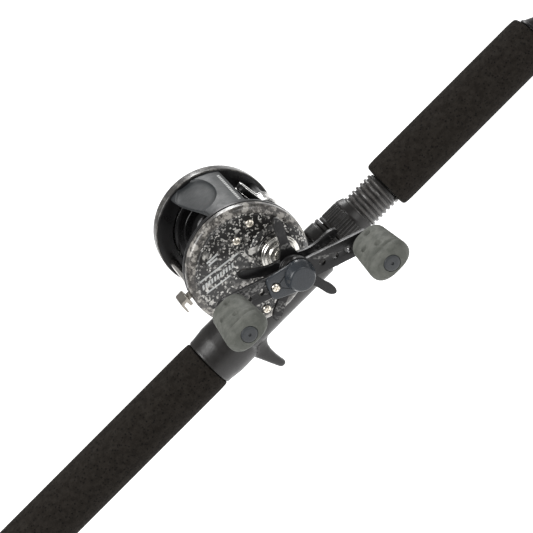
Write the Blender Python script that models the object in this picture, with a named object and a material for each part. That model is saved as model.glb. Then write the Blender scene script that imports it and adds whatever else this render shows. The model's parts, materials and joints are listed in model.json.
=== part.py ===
"""Casting rod with a round multiplier reel.

The rod lies along +X with the flat end of its butt cap at the origin. The reel
sits on top of the rod, towards +Z, and its crank is on the -Y side. Sizes below
are in millimetres and every mesh is built in metres.
"""
import math

import bmesh
import bpy
from mathutils import Matrix, Vector

MM = 0.001

# ---- clearances -------------------------------------------------------------
SEAT_GAP = 0.3        # between pieces that touch on the real object
RUN_GAP = 0.1         # around a shaft in its bearing
FLANK_GAP = 0.45      # between a slide and its slot

# ---- rod --------------------------------------------------------------------
ROD_LENGTH = 1524.0
BUTT_BLANK_R = 6.2
MID_BLANK_R = 5.4
TIP_BLANK_R = 1.05
BLANK_WALL = 1.3
GRIP_BORE_R = BUTT_BLANK_R + 0.35
BUTT_CAP_R = 14.5
BUTT_CAP_LENGTH = 22.0
BUTT_CAP_FLOOR = 13.7
REAR_GRIP_R = 12.7
FORE_GRIP_R = 12.2
FORE_GRIP_LENGTH = 95.0
GRIP_EDGE = 1.6

# ---- reel seat, measured along the rod from the spool axis ------------------
REEL_X = 270.0
SEAT_REAR = -46.0
SEAT_REAR_R = 12.4
SEAT_BODY_R = 10.9
SADDLE_Z = 7.0
SADDLE_REAR = -26.0
BARREL_START = 25.0
BARREL_FLAT_END = 36.0
THREAD_CREST_R = 9.0
THREAD_DEPTH = 1.0
BARREL_R = THREAD_CREST_R - THREAD_DEPTH
NUT_BORE_GAP = 0.2
HOOD_BORE_R = THREAD_CREST_R + NUT_BORE_GAP
NUT_WALL = 1.6
NUT_R = HOOD_BORE_R + NUT_WALL
HOOD_WALL = 2.0
FRONT_HOOD_R = HOOD_BORE_R + HOOD_WALL
NO_FLAT = 2 * SEAT_REAR_R
SEAT_FRONT = 67.4
REAR_HOOD_R = 13.2
FRONT_HOOD_RISE = 0.75
TRIGGER_WIDTH = 6.0
FOOT_HALF_LENGTH = 34.5
FOOT_THICK = 2.0
FOOT_HALF_WIDTH = 6.5
FOOT_END_HALF_WIDTH = 5.0
FOOT_Z = SADDLE_Z + SEAT_GAP
POCKET_TOP = FOOT_Z + FOOT_THICK + SEAT_GAP
POCKET_HALF_WIDTH = FOOT_END_HALF_WIDTH + SEAT_GAP + 0.1
HOOD_START = 26.0
HOOD_LENGTH = 9.4
NUT_LENGTH = 14.6

# ---- line guides: distance from the butt, radius of the hole for the ring ---
GUIDES = ((700.0, 6.0), (925.0, 4.8), (1110.0, 4.0), (1265.0, 3.6), (1400.0, 3.4))
GUIDE_SHEET = 0.9
GUIDE_RIM = 1.1
RING_WALL = 0.9
RING_WIDTH = 2.0
GUIDE_FOOT_HALF = 10.0
TIP_RING_R = 2.9

# ---- reel -------------------------------------------------------------------
SIDE_R = 28.5
REEL_Z = FOOT_Z + SIDE_R
REEL_HALF_WIDTH = 27.3
COVER_DEPTH = 5.0
COVER_WALL = 1.6
COVER_FACE = 1.3
PLATE_THICK = 2.2
PLATE_OPENING_R = 20.4
PLATE_OUT = REEL_HALF_WIDTH - COVER_DEPTH - SEAT_GAP
PLATE_IN = PLATE_OUT - PLATE_THICK
SPAN_HALF = PLATE_IN - SEAT_GAP
SPOOL_FLANGE_R = PLATE_OPENING_R - 0.6
SPOOL_FLANGE_OUT = PLATE_OUT - 1.1
SPOOL_FLANGE = 1.0
ARBOR_R = 9.5
SPOOL_SHAFT_R = 1.25
BEARING_R = 4.0
BEARING_WIDTH = 1.5
BRIDGE_OUT = PLATE_OUT + 0.4
BRIDGE_THICK = 1.0
PILLAR_R = 1.8
PILLAR_CIRCLE_R = 24.6
PILLAR_ANGLE = -25.0
REAR_BAR_R = 2.0
REAR_BAR_ANGLE = 172.6
THUMB_IN_R = 25.0
THUMB_OUT_R = 27.2
THUMB_FRONT_ANGLE = 44.7
CROSSBAR_HALF = 9.0
CROSSBAR_THICK = 2.3

# ---- drive ------------------------------------------------------------------
CRANK_X = 13.0
CRANK_Z = -5.0
MAIN_TEETH = 50
PINION_TEETH = 10
DRIVER_TEETH = 14
IDLER_TEETH = 24
COG_TEETH = 12
LEVEL_WIND_MODULE = 0.45
WORM_CIRCLE_R = 23.0
WORM_ANGLE = 3.5
WORM_R = 1.6
TUBE_R = 3.4
TUBE_BORE_R = 2.6
TUBE_SLOT_HALF_ANGLE = 34.0
GEAR_LAYER_OUT = REEL_HALF_WIDTH - COVER_FACE - 0.4
GEAR_THICK = 1.6
WIND_LAYER_OUT = GEAR_LAYER_OUT - GEAR_THICK - SEAT_GAP
WIND_THICK = 1.0
IDLER_PIN_R = 1.0
SHAFT_R = 2.8
SHAFT_END_R = 2.0
SHAFT_THREAD_R = 2.2
BOSS_R = 12.9
BOSS_HEIGHT = 1.3
CAP_R = 8.9
CAP_HEIGHT = 3.3
DRAG_R = 7.5
DRAG_THICK = 1.8
CARRIAGE_R = 5.0
CARRIAGE_HALF = 4.5
LOOP_HALF = 3.7
LOOP_WIRE_R = 0.9
LOOP_HEIGHT = 17.1
LOOP_LEAN = 7.3
PAWL_R = 1.2

# ---- crank ------------------------------------------------------------------
STAR_OUT = 45.5
STAR_THICK = 2.2
STAR_TIP_R = 25.0
STAR_RISE = 0.3
STAR_FIRST_ANGLE = -5.3
STAR_ARMS = 5
STAR_HUB_R = 6.2
STAR_TO_ARM = 4.2
ARM_IN = STAR_OUT + STAR_RISE + STAR_TO_ARM
ARM_THICK = 2.4
ARM_OUT = ARM_IN + ARM_THICK
ARM_HALF_WIDTH = 4.8
ARM_HUB_R = 7.5
ARM_ANGLE = -21.5
ARM_HOLES = (11.5, 17.8, 24.0)
ARM_HOLE_R = 1.6
KNOB_RADIUS = 33.5
KNOB_START = ARM_OUT + SEAT_GAP
KNOB_LENGTH = 26.9
KNOB_ROOT_HALF = 8.4
KNOB_END_HALF = 10.2
KNOB_HALF_THICK = 6.2
SPINDLE_R = 1.5
KNOB_CAP_R = 3.7
NUT_HALF = 4.2
NUT_HEIGHT = 2.3
DOME_R = 7.0
DOME_TOP_R = 5.4
DOME_HEIGHT = 5.9
TAIL_R = 3.3

# ---- buttons ----------------------------------------------------------------
RELEASE_TRAVEL = 4.0
RELEASE_STEM = 3.0
RELEASE_STEM_Z = 6.3
RELEASE_REACH = 4.6
RELEASE_HALF_WIDTH = 4.4
CAST_KNOB_R = 7.2
CAST_STEM_R = 3.3
CLICKER_X = -8.0
CLICKER_Z = -15.0
CLICKER_TRAVEL = 6.0
CLICKER_STEM_R = 1.3

COVER_SCREWS = ((13.3, 15.2), (3.8, 13.6), (-8.4, -21.4))
SCREW_HEAD_R = 1.7
SCREW_SHANK_R = 0.8

BLACK_FOAM = ((0.020, 0.017, 0.014), 0.95, 0.0)
SATIN_BLACK = ((0.045, 0.040, 0.038), 0.45, 0.0)
CARBON = ((0.012, 0.012, 0.014), 0.25, 0.0)
BLACK_METAL = ((0.02, 0.02, 0.022), 0.35, 0.7)
DARK_CAMO = ((0.05, 0.048, 0.045), 0.4, 0.0)
SLATE = ((0.12, 0.13, 0.14), 0.45, 0.0)
KNOB_GREY = ((0.12, 0.125, 0.11), 0.7, 0.0)
BRIGHT = ((0.82, 0.80, 0.76), 0.2, 1.0)
STEEL = ((0.6, 0.6, 0.6), 0.3, 1.0)
BRASS = ((0.75, 0.56, 0.25), 0.3, 1.0)
CERAMIC = ((0.05, 0.05, 0.055), 0.15, 0.0)


# ---- helpers ----------------------------------------------------------------
def clear_scene():
    for old in list(bpy.data.objects):
        bpy.data.objects.remove(old, do_unlink=True)


def material(look):
    color, roughness, metallic = look
    name = "finish_%02d_%02d_%02d_%d" % (*[round(99 * c) for c in color], round(metallic))
    found = bpy.data.materials.get(name)
    if found:
        return found
    made = bpy.data.materials.new(name)
    made.use_nodes = True
    shader = made.node_tree.nodes["Principled BSDF"]
    shader.inputs["Base Color"].default_value = (*color, 1.0)
    shader.inputs["Roughness"].default_value = roughness
    shader.inputs["Metallic"].default_value = metallic
    return made


def in_row(x, y, z):
    """A point given in millimetres in the rod's own frame."""
    return Vector((x, y, z)) * MM


def as_object(name, bm, look=None):
    bmesh.ops.recalc_face_normals(bm, faces=bm.faces)
    mesh = bpy.data.meshes.new(name)
    bm.to_mesh(mesh)
    bm.free()
    if look:
        mesh.materials.append(material(look))
    mesh.shade_smooth()
    mesh.set_sharp_from_angle(angle=math.radians(35))
    obj = bpy.data.objects.new(name, mesh)
    bpy.context.scene.collection.objects.link(obj)
    return obj


def apply_boolean(obj, other, operation):
    """Cut or join with another object, keep the result as plain mesh."""
    step = obj.modifiers.new(operation.lower(), "BOOLEAN")
    step.operation = operation
    step.solver = "EXACT"
    step.object = other
    bpy.context.view_layer.update()
    graph = bpy.context.evaluated_depsgraph_get()
    mesh = bpy.data.meshes.new_from_object(obj.evaluated_get(graph))
    obj.modifiers.clear()
    obj.data = mesh
    bpy.data.objects.remove(other, do_unlink=True)
    weld(obj)
    return obj


def weld(obj):
    """Merge the slivers that a Boolean leaves."""
    bm = bmesh.new()
    bm.from_mesh(obj.data)
    bmesh.ops.remove_doubles(bm, verts=bm.verts, dist=1e-6)
    bmesh.ops.dissolve_degenerate(bm, edges=bm.edges, dist=1e-6)
    bmesh.ops.dissolve_limit(bm, verts=bm.verts, edges=bm.edges, angle_limit=math.radians(0.2))
    bm.to_mesh(obj.data)
    bm.free()


def cut(obj, cutter):
    return apply_boolean(obj, cutter, "DIFFERENCE")


def join(obj, other):
    return apply_boolean(obj, other, "UNION")


def ring_point(axis, centre, along, radius, turn):
    """A point on a circle about a line that is parallel to axis and goes through centre."""
    a, b = radius * math.cos(turn), radius * math.sin(turn)
    if axis == "X":
        return in_row(along, centre[0] + a, centre[1] + b)
    return in_row(centre[0] + a, along, centre[1] + b)


def lathe(name, profile, axis, centre, sides, look=None, bm=None):
    """Turn a closed profile of (along, radius) points; the result is one closed body."""
    bm = bm or bmesh.new()
    rings = []
    for along, radius in profile:
        count = 1 if radius < 1e-6 else sides
        rings.append([
            bm.verts.new(ring_point(axis, centre, along, radius, 2 * math.pi * i / sides))
            for i in range(count)
        ])
    for here, there in zip(rings, rings[1:] + rings[:1]):
        skin(bm, here, there, sides)
    return bm if name is None else as_object(name, bm, look)


def skin(bm, here, there, sides):
    """Faces between two rings, either of which may be a single point."""
    if len(here) == 1 and len(there) == 1:
        return
    for i in range(sides):
        j = (i + 1) % sides
        if len(here) == 1:
            bm.faces.new((here[0], there[j], there[i]))
        elif len(there) == 1:
            bm.faces.new((here[i], here[j], there[0]))
        else:
            bm.faces.new((here[i], here[j], there[j], there[i]))


def slab(name, loops, low, high, axis, look=None):
    """Extrude flat loops along axis; the first is the outline and the rest are holes."""
    bm = bmesh.new()
    edges = []
    for loop in loops:
        verts = [bm.verts.new(flat_point(axis, low, p)) for p in loop]
        edges += [bm.edges.new((a, b)) for a, b in zip(verts, verts[1:] + verts[:1])]
    bmesh.ops.triangle_fill(bm, use_beauty=True, use_dissolve=False, edges=edges)
    grown = bmesh.ops.extrude_face_region(bm, geom=list(bm.faces))
    moved = [g for g in grown["geom"] if isinstance(g, bmesh.types.BMVert)]
    step = flat_point(axis, high, (0, 0)) - flat_point(axis, low, (0, 0))
    bmesh.ops.translate(bm, verts=moved, vec=step)
    return as_object(name, bm, look)


def flat_point(axis, along, point):
    if axis == "X":
        return in_row(along, point[0], point[1])
    if axis == "Y":
        return in_row(point[0], along, point[1])
    return in_row(point[0], point[1], along)


def box(name, low, high, look=None):
    corners = [(low[0], low[1]), (high[0], low[1]), (high[0], high[1]), (low[0], high[1])]
    return slab(name, [corners], low[2], high[2], "Z", look)


def loft(name, sections, look=None, closed_ends=True):
    """Skin a list of closed sections that all have the same number of points."""
    bm = bmesh.new()
    rings = [[bm.verts.new(p) for p in section] for section in sections]
    for here, there in zip(rings, rings[1:]):
        skin(bm, here, there, len(here))
    if closed_ends:
        bm.faces.new(rings[0])
        bm.faces.new(rings[-1])
    else:
        skin(bm, rings[-1], rings[0], len(rings[0]))
    return as_object(name, bm, look)


def circle(radius, sides, centre=(0.0, 0.0), start=0.0):
    return [
        (centre[0] + radius * math.cos(start + 2 * math.pi * i / sides),
         centre[1] + radius * math.sin(start + 2 * math.pi * i / sides))
        for i in range(sides)
    ]


def polar(radius, degrees, centre=(0.0, 0.0)):
    turn = math.radians(degrees)
    return centre[0] + radius * math.cos(turn), centre[1] + radius * math.sin(turn)


REEL = (REEL_X, REEL_Z)
CRANK = (REEL_X + CRANK_X, REEL_Z + CRANK_Z)
WORM = polar(WORM_CIRCLE_R, WORM_ANGLE, REEL)


def rounded_rod_profile(start, end, radius, bore, edge):
    """A tube along X with rounded outer corners."""
    arc = [(edge * (1 - math.cos(math.radians(t))), edge * (1 - math.sin(math.radians(t))))
           for t in (0, 35, 65, 90)]
    rear = [(start + a, radius - b) for a, b in arc]
    front = [(end - a, radius - b) for a, b in reversed(arc)]
    return [(start, bore)] + rear + front + [(end, bore)]


# ---- rod pieces -------------------------------------------------------------
def blank_radius(x):
    """Outer radius of the blank: a slow taper through the grips, then a faster one."""
    mid = REEL_X + SEAT_FRONT + FORE_GRIP_LENGTH
    if x < mid:
        return BUTT_BLANK_R + (MID_BLANK_R - BUTT_BLANK_R) * x / mid
    share = (x - mid) / (ROD_LENGTH - mid)
    return MID_BLANK_R + (TIP_BLANK_R - MID_BLANK_R) * share ** 0.85


def make_blank():
    start = BUTT_CAP_FLOOR + SEAT_GAP
    end = ROD_LENGTH - 5.0
    mid = REEL_X + SEAT_FRONT + FORE_GRIP_LENGTH
    stations = [start] + [mid + (end - mid) * i / 6 for i in range(7)]
    outer = [(x, blank_radius(x)) for x in stations]
    inner = [(x, max(0.45 * blank_radius(x), blank_radius(x) - BLANK_WALL)) for x in reversed(stations)]
    return lathe("rod_blank", outer + inner, "X", (0, 0), 16, CARBON)


def make_butt_cap():
    lip = 2.0
    profile = [
        (0, 0), (0, BUTT_CAP_R - lip), (0.6 * lip, BUTT_CAP_R - 0.3 * lip), (lip, BUTT_CAP_R),
        (BUTT_CAP_LENGTH - lip, BUTT_CAP_R), (BUTT_CAP_LENGTH, REAR_GRIP_R),
        (BUTT_CAP_LENGTH, GRIP_BORE_R), (BUTT_CAP_FLOOR, GRIP_BORE_R), (BUTT_CAP_FLOOR, 0),
    ]
    return lathe("butt_cap", profile, "X", (0, 0), 24, SATIN_BLACK)


def make_grips():
    rear_end = REEL_X + SEAT_REAR - SEAT_GAP
    profile = rounded_rod_profile(BUTT_CAP_LENGTH + SEAT_GAP, rear_end, REAR_GRIP_R, GRIP_BORE_R, 0.8)
    lathe("rear_grip", profile, "X", (0, 0), 24, BLACK_FOAM)
    start = REEL_X + SEAT_FRONT + SEAT_GAP
    end = start + FORE_GRIP_LENGTH
    profile = rounded_rod_profile(start, end, FORE_GRIP_R, GRIP_BORE_R, GRIP_EDGE)
    lathe("fore_grip", profile, "X", (0, 0), 24, BLACK_FOAM)


def seat_section(x, radius, flat):
    sides = 28
    points = [(radius * math.cos(2 * math.pi * i / sides), radius * math.sin(2 * math.pi * i / sides))
              for i in range(sides)]
    return [in_row(REEL_X + x, y, min(z, flat)) for y, z in points]


def make_reel_seat():
    """Seat body: flared rear, hood over the foot, flat saddle and plain barrel."""
    step = 0.01
    outer = [
        (SEAT_REAR, SEAT_REAR_R, NO_FLAT), (SEAT_REAR + 2, SEAT_REAR_R, NO_FLAT),
        (SEAT_REAR + 4.5, REAR_HOOD_R - 0.5, NO_FLAT), (SADDLE_REAR - 11, REAR_HOOD_R, NO_FLAT),
        (SADDLE_REAR - 1.5, REAR_HOOD_R - 0.4, NO_FLAT), (SADDLE_REAR, REAR_HOOD_R - 1.5, NO_FLAT),
        (SADDLE_REAR + step, SEAT_BODY_R, SADDLE_Z), (-12, SEAT_BODY_R - 0.4, SADDLE_Z),
        (BARREL_START - 0.4, SEAT_BODY_R - 0.4, SADDLE_Z), (BARREL_START, BARREL_R, SADDLE_Z),
        (BARREL_FLAT_END, BARREL_R, SADDLE_Z), (BARREL_FLAT_END + step, BARREL_R, NO_FLAT),
        (SEAT_FRONT, BARREL_R, NO_FLAT),
    ]
    sections = [seat_section(*station) for station in outer]
    sections += [seat_section(x, GRIP_BORE_R, NO_FLAT) for x in (SEAT_FRONT, SEAT_REAR)]
    seat = loft("reel_seat", sections, SATIN_BLACK, closed_ends=False)
    pocket = box("pocket", (REEL_X - FOOT_HALF_LENGTH - SEAT_GAP, -POCKET_HALF_WIDTH, SADDLE_Z - 0.004),
                 (REEL_X + SADDLE_REAR + 1, POCKET_HALF_WIDTH, POCKET_TOP))
    cut(seat, pocket)
    join(seat, make_trigger())
    return seat


def make_trigger():
    """The finger hook under the seat: wide at its root, thin at its tip, leaning forward."""
    sections = [
        # height below the rod axis, rear edge, front edge, half width
        (-GRIP_BORE_R - 1.2, -37.0, -13.0, 5.0),
        (-SEAT_BODY_R + 0.4, -33.5, -17.5, 4.4),
        (-13.5, -30.8, -20.6, 0.5 * TRIGGER_WIDTH + 0.4),
        (-17.0, -29.3, -21.6, 0.5 * TRIGGER_WIDTH),
        (-21.0, -27.6, -21.9, 0.5 * TRIGGER_WIDTH - 0.1),
        (-25.0, -26.2, -21.6, 0.5 * TRIGGER_WIDTH - 0.3),
        (-28.0, -25.0, -21.4, 0.5 * TRIGGER_WIDTH - 0.6),
        (-28.9, -24.2, -22.2, 0.5 * TRIGGER_WIDTH - 1.4),
    ]
    rings = []
    for z, rear, front, half in sections:
        middle, reach = 0.5 * (rear + front), 0.5 * (front - rear)
        rings.append([
            in_row(REEL_X + middle + reach * rounded(math.cos(t)), half * rounded(math.sin(t)), z)
            for t in [2 * math.pi * i / 14 for i in range(14)]
        ])
    return loft("trigger", rings, SATIN_BLACK)


def rounded(value, power=0.75):
    """Swell a circle's coordinate towards a rounded square."""
    return math.copysign(abs(value) ** power, value)


def make_hood_and_nut():
    """A hood that stands higher over the foot than under the rod, and the nut that drives it."""
    start = REEL_X + HOOD_START
    end = start + HOOD_LENGTH
    outer = [(start, 0), (start, FRONT_HOOD_R - 0.5), (start + 0.8, FRONT_HOOD_R), (end - 2, FRONT_HOOD_R - 0.2),
             (end, FRONT_HOOD_R - 0.6), (end, 0)]
    hood = lathe("sliding_hood", outer, "X", (0, FRONT_HOOD_RISE), 28, SATIN_BLACK)
    bore = [(start - 1, 0), (start - 1, HOOD_BORE_R), (end + 1, HOOD_BORE_R), (end + 1, 0)]
    cut(hood, lathe("bore", bore, "X", (0, 0), 28))
    pocket = box("pocket", (start - 1, -POCKET_HALF_WIDTH, SADDLE_Z - 0.004),
                 (REEL_X + FOOT_HALF_LENGTH + SEAT_GAP, POCKET_HALF_WIDTH, POCKET_TOP))
    cut(hood, pocket)
    start = end + SEAT_GAP
    end = start + NUT_LENGTH
    profile = [(start, HOOD_BORE_R), (start, NUT_R - 0.2), (start + 0.4, NUT_R), (end - 3.6, NUT_R),
               (end - 3.2, NUT_R - 0.2), (end, NUT_R - 1.1), (end, HOOD_BORE_R)]
    lathe("lock_nut", profile, "X", (0, 0), 24, SATIN_BLACK)


# ---- line guides ------------------------------------------------------------
def guide_height(x, hole_r):
    return blank_radius(x) + 1.9 * hole_r + 1.0


def guide_outline(hole_r, drop, foot_half):
    """A round head on a leg that widens towards the blank."""
    head_r = hole_r + GUIDE_RIM
    arc = [polar(head_r, -50 + 280 * i / 16) for i in range(17)]
    return arc + [(-foot_half, -drop), (foot_half, -drop)]


def make_guides():
    for number, (x, hole_r) in enumerate(GUIDES, start=1):
        rise = guide_height(x, hole_r)
        drop = rise - blank_radius(x) - SEAT_GAP
        outline = [(y, z + rise) for y, z in guide_outline(hole_r, drop, 1.6)]
        hole = circle(hole_r, 16, (0, rise))
        half = 0.5 * GUIDE_SHEET
        frame = slab("guide_%d" % number, [outline, hole], x - half, x + half, "X", BLACK_METAL)
        low = blank_radius(x) + SEAT_GAP
        foot = box("foot", (x - GUIDE_FOOT_HALF, -1.3, low + 0.05), (x + GUIDE_FOOT_HALF, 1.3, low + 0.95))
        join(frame, foot)
        make_ring("guide_ring_%d" % number, x, rise, hole_r)


def make_ring(name, x, rise, hole_r):
    """A ceramic ring held in a guide's hole."""
    outer = hole_r - 0.1
    inner = outer - RING_WALL
    half = 0.5 * RING_WIDTH
    profile = [(x - half, inner + 0.25), (x - half, outer), (x + half, outer), (x + half, inner + 0.25),
               (x + 0.4 * half, inner), (x - 0.4 * half, inner)]
    return lathe(name, profile, "X", (0, rise), 16, CERAMIC)


def make_tip():
    end = ROD_LENGTH
    tube_start = end - 16.0
    bore = blank_radius(tube_start) + SEAT_GAP
    wall = 0.5
    rise = TIP_RING_R + 2.4
    profile = [(tube_start, bore), (tube_start, bore + wall), (end - 3.4, bore + wall), (end - 2.6, 1.2),
               (end - 2.6, 0), (end - 4.4, 0), (end - 4.4, bore)]
    tube = lathe("tip_top", profile, "X", (0, 0), 16, BLACK_METAL)
    drop = rise + 0.3
    outline = [(y, z + rise) for y, z in guide_outline(TIP_RING_R, drop, 1.1)]
    loop = slab("loop", [outline, circle(TIP_RING_R, 20, (0, rise))], end - 3.2, end - 0.4, "X")
    join(tube, loop)


# ---- reel frame -------------------------------------------------------------
def reel_circle(radius, sides, centre=(0.0, 0.0)):
    return circle(radius, sides, (REEL_X + centre[0], REEL_Z + centre[1]))


def make_plates():
    """The two side rings; the shaft of the level wind turns in both."""
    worm = (WORM[0] - REEL_X, WORM[1] - REEL_Z)
    for name, low, high in (("frame_left", PLATE_IN, PLATE_OUT), ("frame_right", -PLATE_OUT, -PLATE_IN)):
        loops = [reel_circle(SIDE_R, 44), reel_circle(PLATE_OPENING_R, 36),
                 reel_circle(WORM_R + SEAT_GAP, 12, worm)]
        ring = slab(name, loops, low, high, "Y", DARK_CAMO)
        if name == "frame_right":
            low_z = REEL_Z + RELEASE_STEM_Z - RELEASE_TRAVEL - SEAT_GAP
            high_z = REEL_Z + RELEASE_STEM_Z + RELEASE_STEM + SEAT_GAP
            notch = box("notch", (REEL_X - SIDE_R - 1, low - 1, low_z), (REEL_X - 23.6, high + 1, high_z))
            cut(ring, notch)


def make_foot():
    """The foot plate, narrow at its ends, with the crossbar that carries the side plates."""
    half, end, width = FOOT_HALF_LENGTH, FOOT_END_HALF_WIDTH, FOOT_HALF_WIDTH
    taper_end = -SADDLE_REAR - 1.5
    quarter = [(half, 0.45 * end), (half - 1.2, 0.8 * end), (half - 4, end), (taper_end, end), (16, width)]
    upper = quarter + [(-x, y) for x, y in reversed(quarter)]
    outline = [(REEL_X + x, y) for x, y in upper + [(-x, -y) for x, y in upper]]
    foot = slab("reel_foot", [outline], FOOT_Z, FOOT_Z + FOOT_THICK, "Z", BLACK_METAL)
    low = FOOT_Z + FOOT_THICK - 0.4
    bar = box("bar", (REEL_X - CROSSBAR_HALF, -SPAN_HALF, low),
              (REEL_X + CROSSBAR_HALF, SPAN_HALF, low + CROSSBAR_THICK))
    return join(foot, bar)


def make_bars():
    centre = polar(PILLAR_CIRCLE_R, PILLAR_ANGLE, REEL)
    profile = [(-SPAN_HALF, 0), (-SPAN_HALF, PILLAR_R), (SPAN_HALF, PILLAR_R), (SPAN_HALF, 0)]
    lathe("front_pillar", profile, "Y", centre, 14, BLACK_METAL)
    centre = polar(PILLAR_CIRCLE_R + 0.2, REAR_BAR_ANGLE, REEL)
    waist = REAR_BAR_R - 0.4
    profile = [(-SPAN_HALF, 0), (-SPAN_HALF, REAR_BAR_R), (-SPAN_HALF + 3, REAR_BAR_R), (-SPAN_HALF + 4, waist),
               (SPAN_HALF - 4, waist), (SPAN_HALF - 3, REAR_BAR_R), (SPAN_HALF, REAR_BAR_R), (SPAN_HALF, 0)]
    lathe("rear_bar", profile, "Y", centre, 16, BRIGHT)


def thumb_rear_angle(y):
    """The rear edge of the thumb rest swings back on the palm side."""
    share = (y + SPAN_HALF) / (2 * SPAN_HALF)
    ease = share * share * (3 - 2 * share)
    return 83.0 + 18.0 * ease


def make_thumb_rest():
    sections = []
    for i in range(9):
        y = SPAN_HALF * (1 - 2 * i / 8)
        last = thumb_rear_angle(y)
        angles = [THUMB_FRONT_ANGLE + (last - THUMB_FRONT_ANGLE) * k / 8 for k in range(9)]
        dish = 0.8 * math.cos(math.pi * y / (2 * SPAN_HALF + 4))
        outer = [polar(THUMB_OUT_R - dish * math.sin(math.pi * k / 8), a, REEL) for k, a in enumerate(angles)]
        inner = [polar(THUMB_IN_R - 0.8, a, REEL) for a in reversed(angles)]
        sections.append([in_row(x, y, z) for x, z in outer + inner])
    return loft("thumb_rest", sections, SLATE)


def cover_profile(sign, hub):
    """A shallow cup with a rounded rim; hub points run from the cup's floor to the axis."""
    out, depth = REEL_HALF_WIDTH, COVER_DEPTH
    edge = 1.7
    arc = [(edge * (1 - math.cos(math.radians(t))), edge * (1 - math.sin(math.radians(t))))
           for t in (0, 30, 60, 90)]
    rim = [(out - a, SIDE_R - b) for a, b in arc]
    wall_r = SIDE_R - COVER_WALL
    cup = [(out - depth, SIDE_R), (out - depth, wall_r), (out - COVER_FACE, wall_r)]
    dish = [(out - 0.5, SIDE_R - edge - 1.9), (out - 0.1, SIDE_R - edge - 0.6)]
    return [(sign * a, r) for a, r in dish + rim + cup + hub]


def make_gear_cover():
    floor = REEL_HALF_WIDTH - COVER_FACE
    hub = [(floor, 0), (REEL_HALF_WIDTH - 0.5, 0)]
    cover = lathe("gear_cover", cover_profile(-1, hub), "Y", REEL, 44, DARK_CAMO)
    out = REEL_HALF_WIDTH
    boss = [(-floor - 0.2, 0), (-floor - 0.2, BOSS_R), (-out - BOSS_HEIGHT + 0.5, BOSS_R),
            (-out - BOSS_HEIGHT, BOSS_R - 0.6), (-out - BOSS_HEIGHT, 0)]
    join(cover, lathe("boss", boss, "Y", CRANK, 32))
    well = DRAG_R + SEAT_GAP
    holes = lathe(None, [(-floor + 1, 0), (-floor + 1, well), (-out - 3, well), (-out - 3, 0)], "Y", CRANK, 20)
    for x, z in COVER_SCREWS:
        shank = SCREW_SHANK_R + SEAT_GAP
        lathe(None, [(-floor + 1, 0), (-floor + 1, shank), (-out - 1, shank), (-out - 1, 0)],
              "Y", (REEL_X + x, REEL_Z + z), 12, bm=holes)
    return cut(cover, as_object("holes", holes))


def make_palm_cover():
    floor = REEL_HALF_WIDTH - COVER_FACE
    stem, pocket = CAST_STEM_R + SEAT_GAP, BEARING_R + SEAT_GAP
    hub_end = SPOOL_FLANGE_OUT + 0.6
    hub = [(floor, pocket + 1.4), (hub_end, pocket + 1.4), (hub_end, pocket),
           (hub_end + 2.6, pocket), (hub_end + 2.6, stem), (REEL_HALF_WIDTH - 0.5, stem)]
    cover = lathe("palm_cover", cover_profile(1, hub), "Y", REEL, 44, DARK_CAMO)
    reach = CLICKER_STEM_R + SEAT_GAP
    slot = box("slot", (REEL_X + CLICKER_X - reach, floor - 1, REEL_Z + CLICKER_Z - reach),
               (REEL_X + CLICKER_X + CLICKER_TRAVEL + reach, floor + 4, REEL_Z + CLICKER_Z + reach))
    return cut(cover, slot)


def make_cover_screws():
    face = REEL_HALF_WIDTH - 0.5 + 0.05
    for number, (x, z) in enumerate(COVER_SCREWS, start=1):
        profile = [(-face + 4.2, 0), (-face + 4.2, SCREW_SHANK_R), (-face, SCREW_SHANK_R), (-face, SCREW_HEAD_R),
                   (-face - 0.6, SCREW_HEAD_R), (-face - 1.05, 0.6 * SCREW_HEAD_R), (-face - 1.15, 0)]
        lathe("cover_screw_%d" % number, profile, "Y", (REEL_X + x, REEL_Z + z), 14, BRIGHT)


# ---- spool and its drive ----------------------------------------------------
def make_spool():
    out, lip = SPOOL_FLANGE_OUT, SPOOL_FLANGE
    side = [(out, 5.0), (out, SPOOL_FLANGE_R), (out - lip, SPOOL_FLANGE_R), (out - lip - 0.5, SPOOL_FLANGE_R - 1.8),
            (out - lip - 1.0, ARBOR_R + 1.5), (out - lip - 2.6, ARBOR_R)]
    bore = SPOOL_SHAFT_R + RUN_GAP
    hub = [(out - 1.2, 4.2), (out - 1.2, bore)]
    right = hub[::-1] + side
    left = [(-a, r) for a, r in reversed(right)]
    lathe("spool", right + left, "Y", REEL, 36, BLACK_METAL)
    start, end = -(REEL_HALF_WIDTH - COVER_FACE - 0.3), SPOOL_FLANGE_OUT + 2.4
    profile = [(start, 0), (start, SPOOL_SHAFT_R), (end, SPOOL_SHAFT_R), (end, 0)]
    lathe("spool_shaft", profile, "Y", REEL, 16, STEEL)
    bore = SPOOL_SHAFT_R + RUN_GAP
    for side, low in (("right", -BRIDGE_OUT - SEAT_GAP), ("left", SPOOL_FLANGE_OUT + 0.9)):
        high = low + BEARING_WIDTH
        profile = [(low, bore), (low, BEARING_R), (high, BEARING_R), (high, bore)]
        lathe("spool_bearing_" + side, profile, "Y", REEL, 24, STEEL)


def tooth_outline(teeth, module, first, centre):
    """Straight-sided gear teeth; first is the angle of the middle of one tooth."""
    pitch = math.pi * module
    pitch_r = 0.5 * teeth * module
    shape = [(-0.27, -1.15), (-0.1, 0.8), (0.1, 0.8), (0.27, -1.15)]
    points = []
    for k in range(teeth):
        middle = first + 2 * math.pi * k / teeth
        for across, height in shape:
            turn = middle + across * pitch / pitch_r
            points.append((centre[0] + (pitch_r + height * module) * math.cos(turn),
                           centre[1] + (pitch_r + height * module) * math.sin(turn)))
    return points


def heading(a, b):
    return math.atan2(b[1] - a[1], b[0] - a[0])


def gap_facing(teeth, direction):
    """Angle of a tooth when the middle of a gap faces direction."""
    return direction + math.pi / teeth


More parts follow.
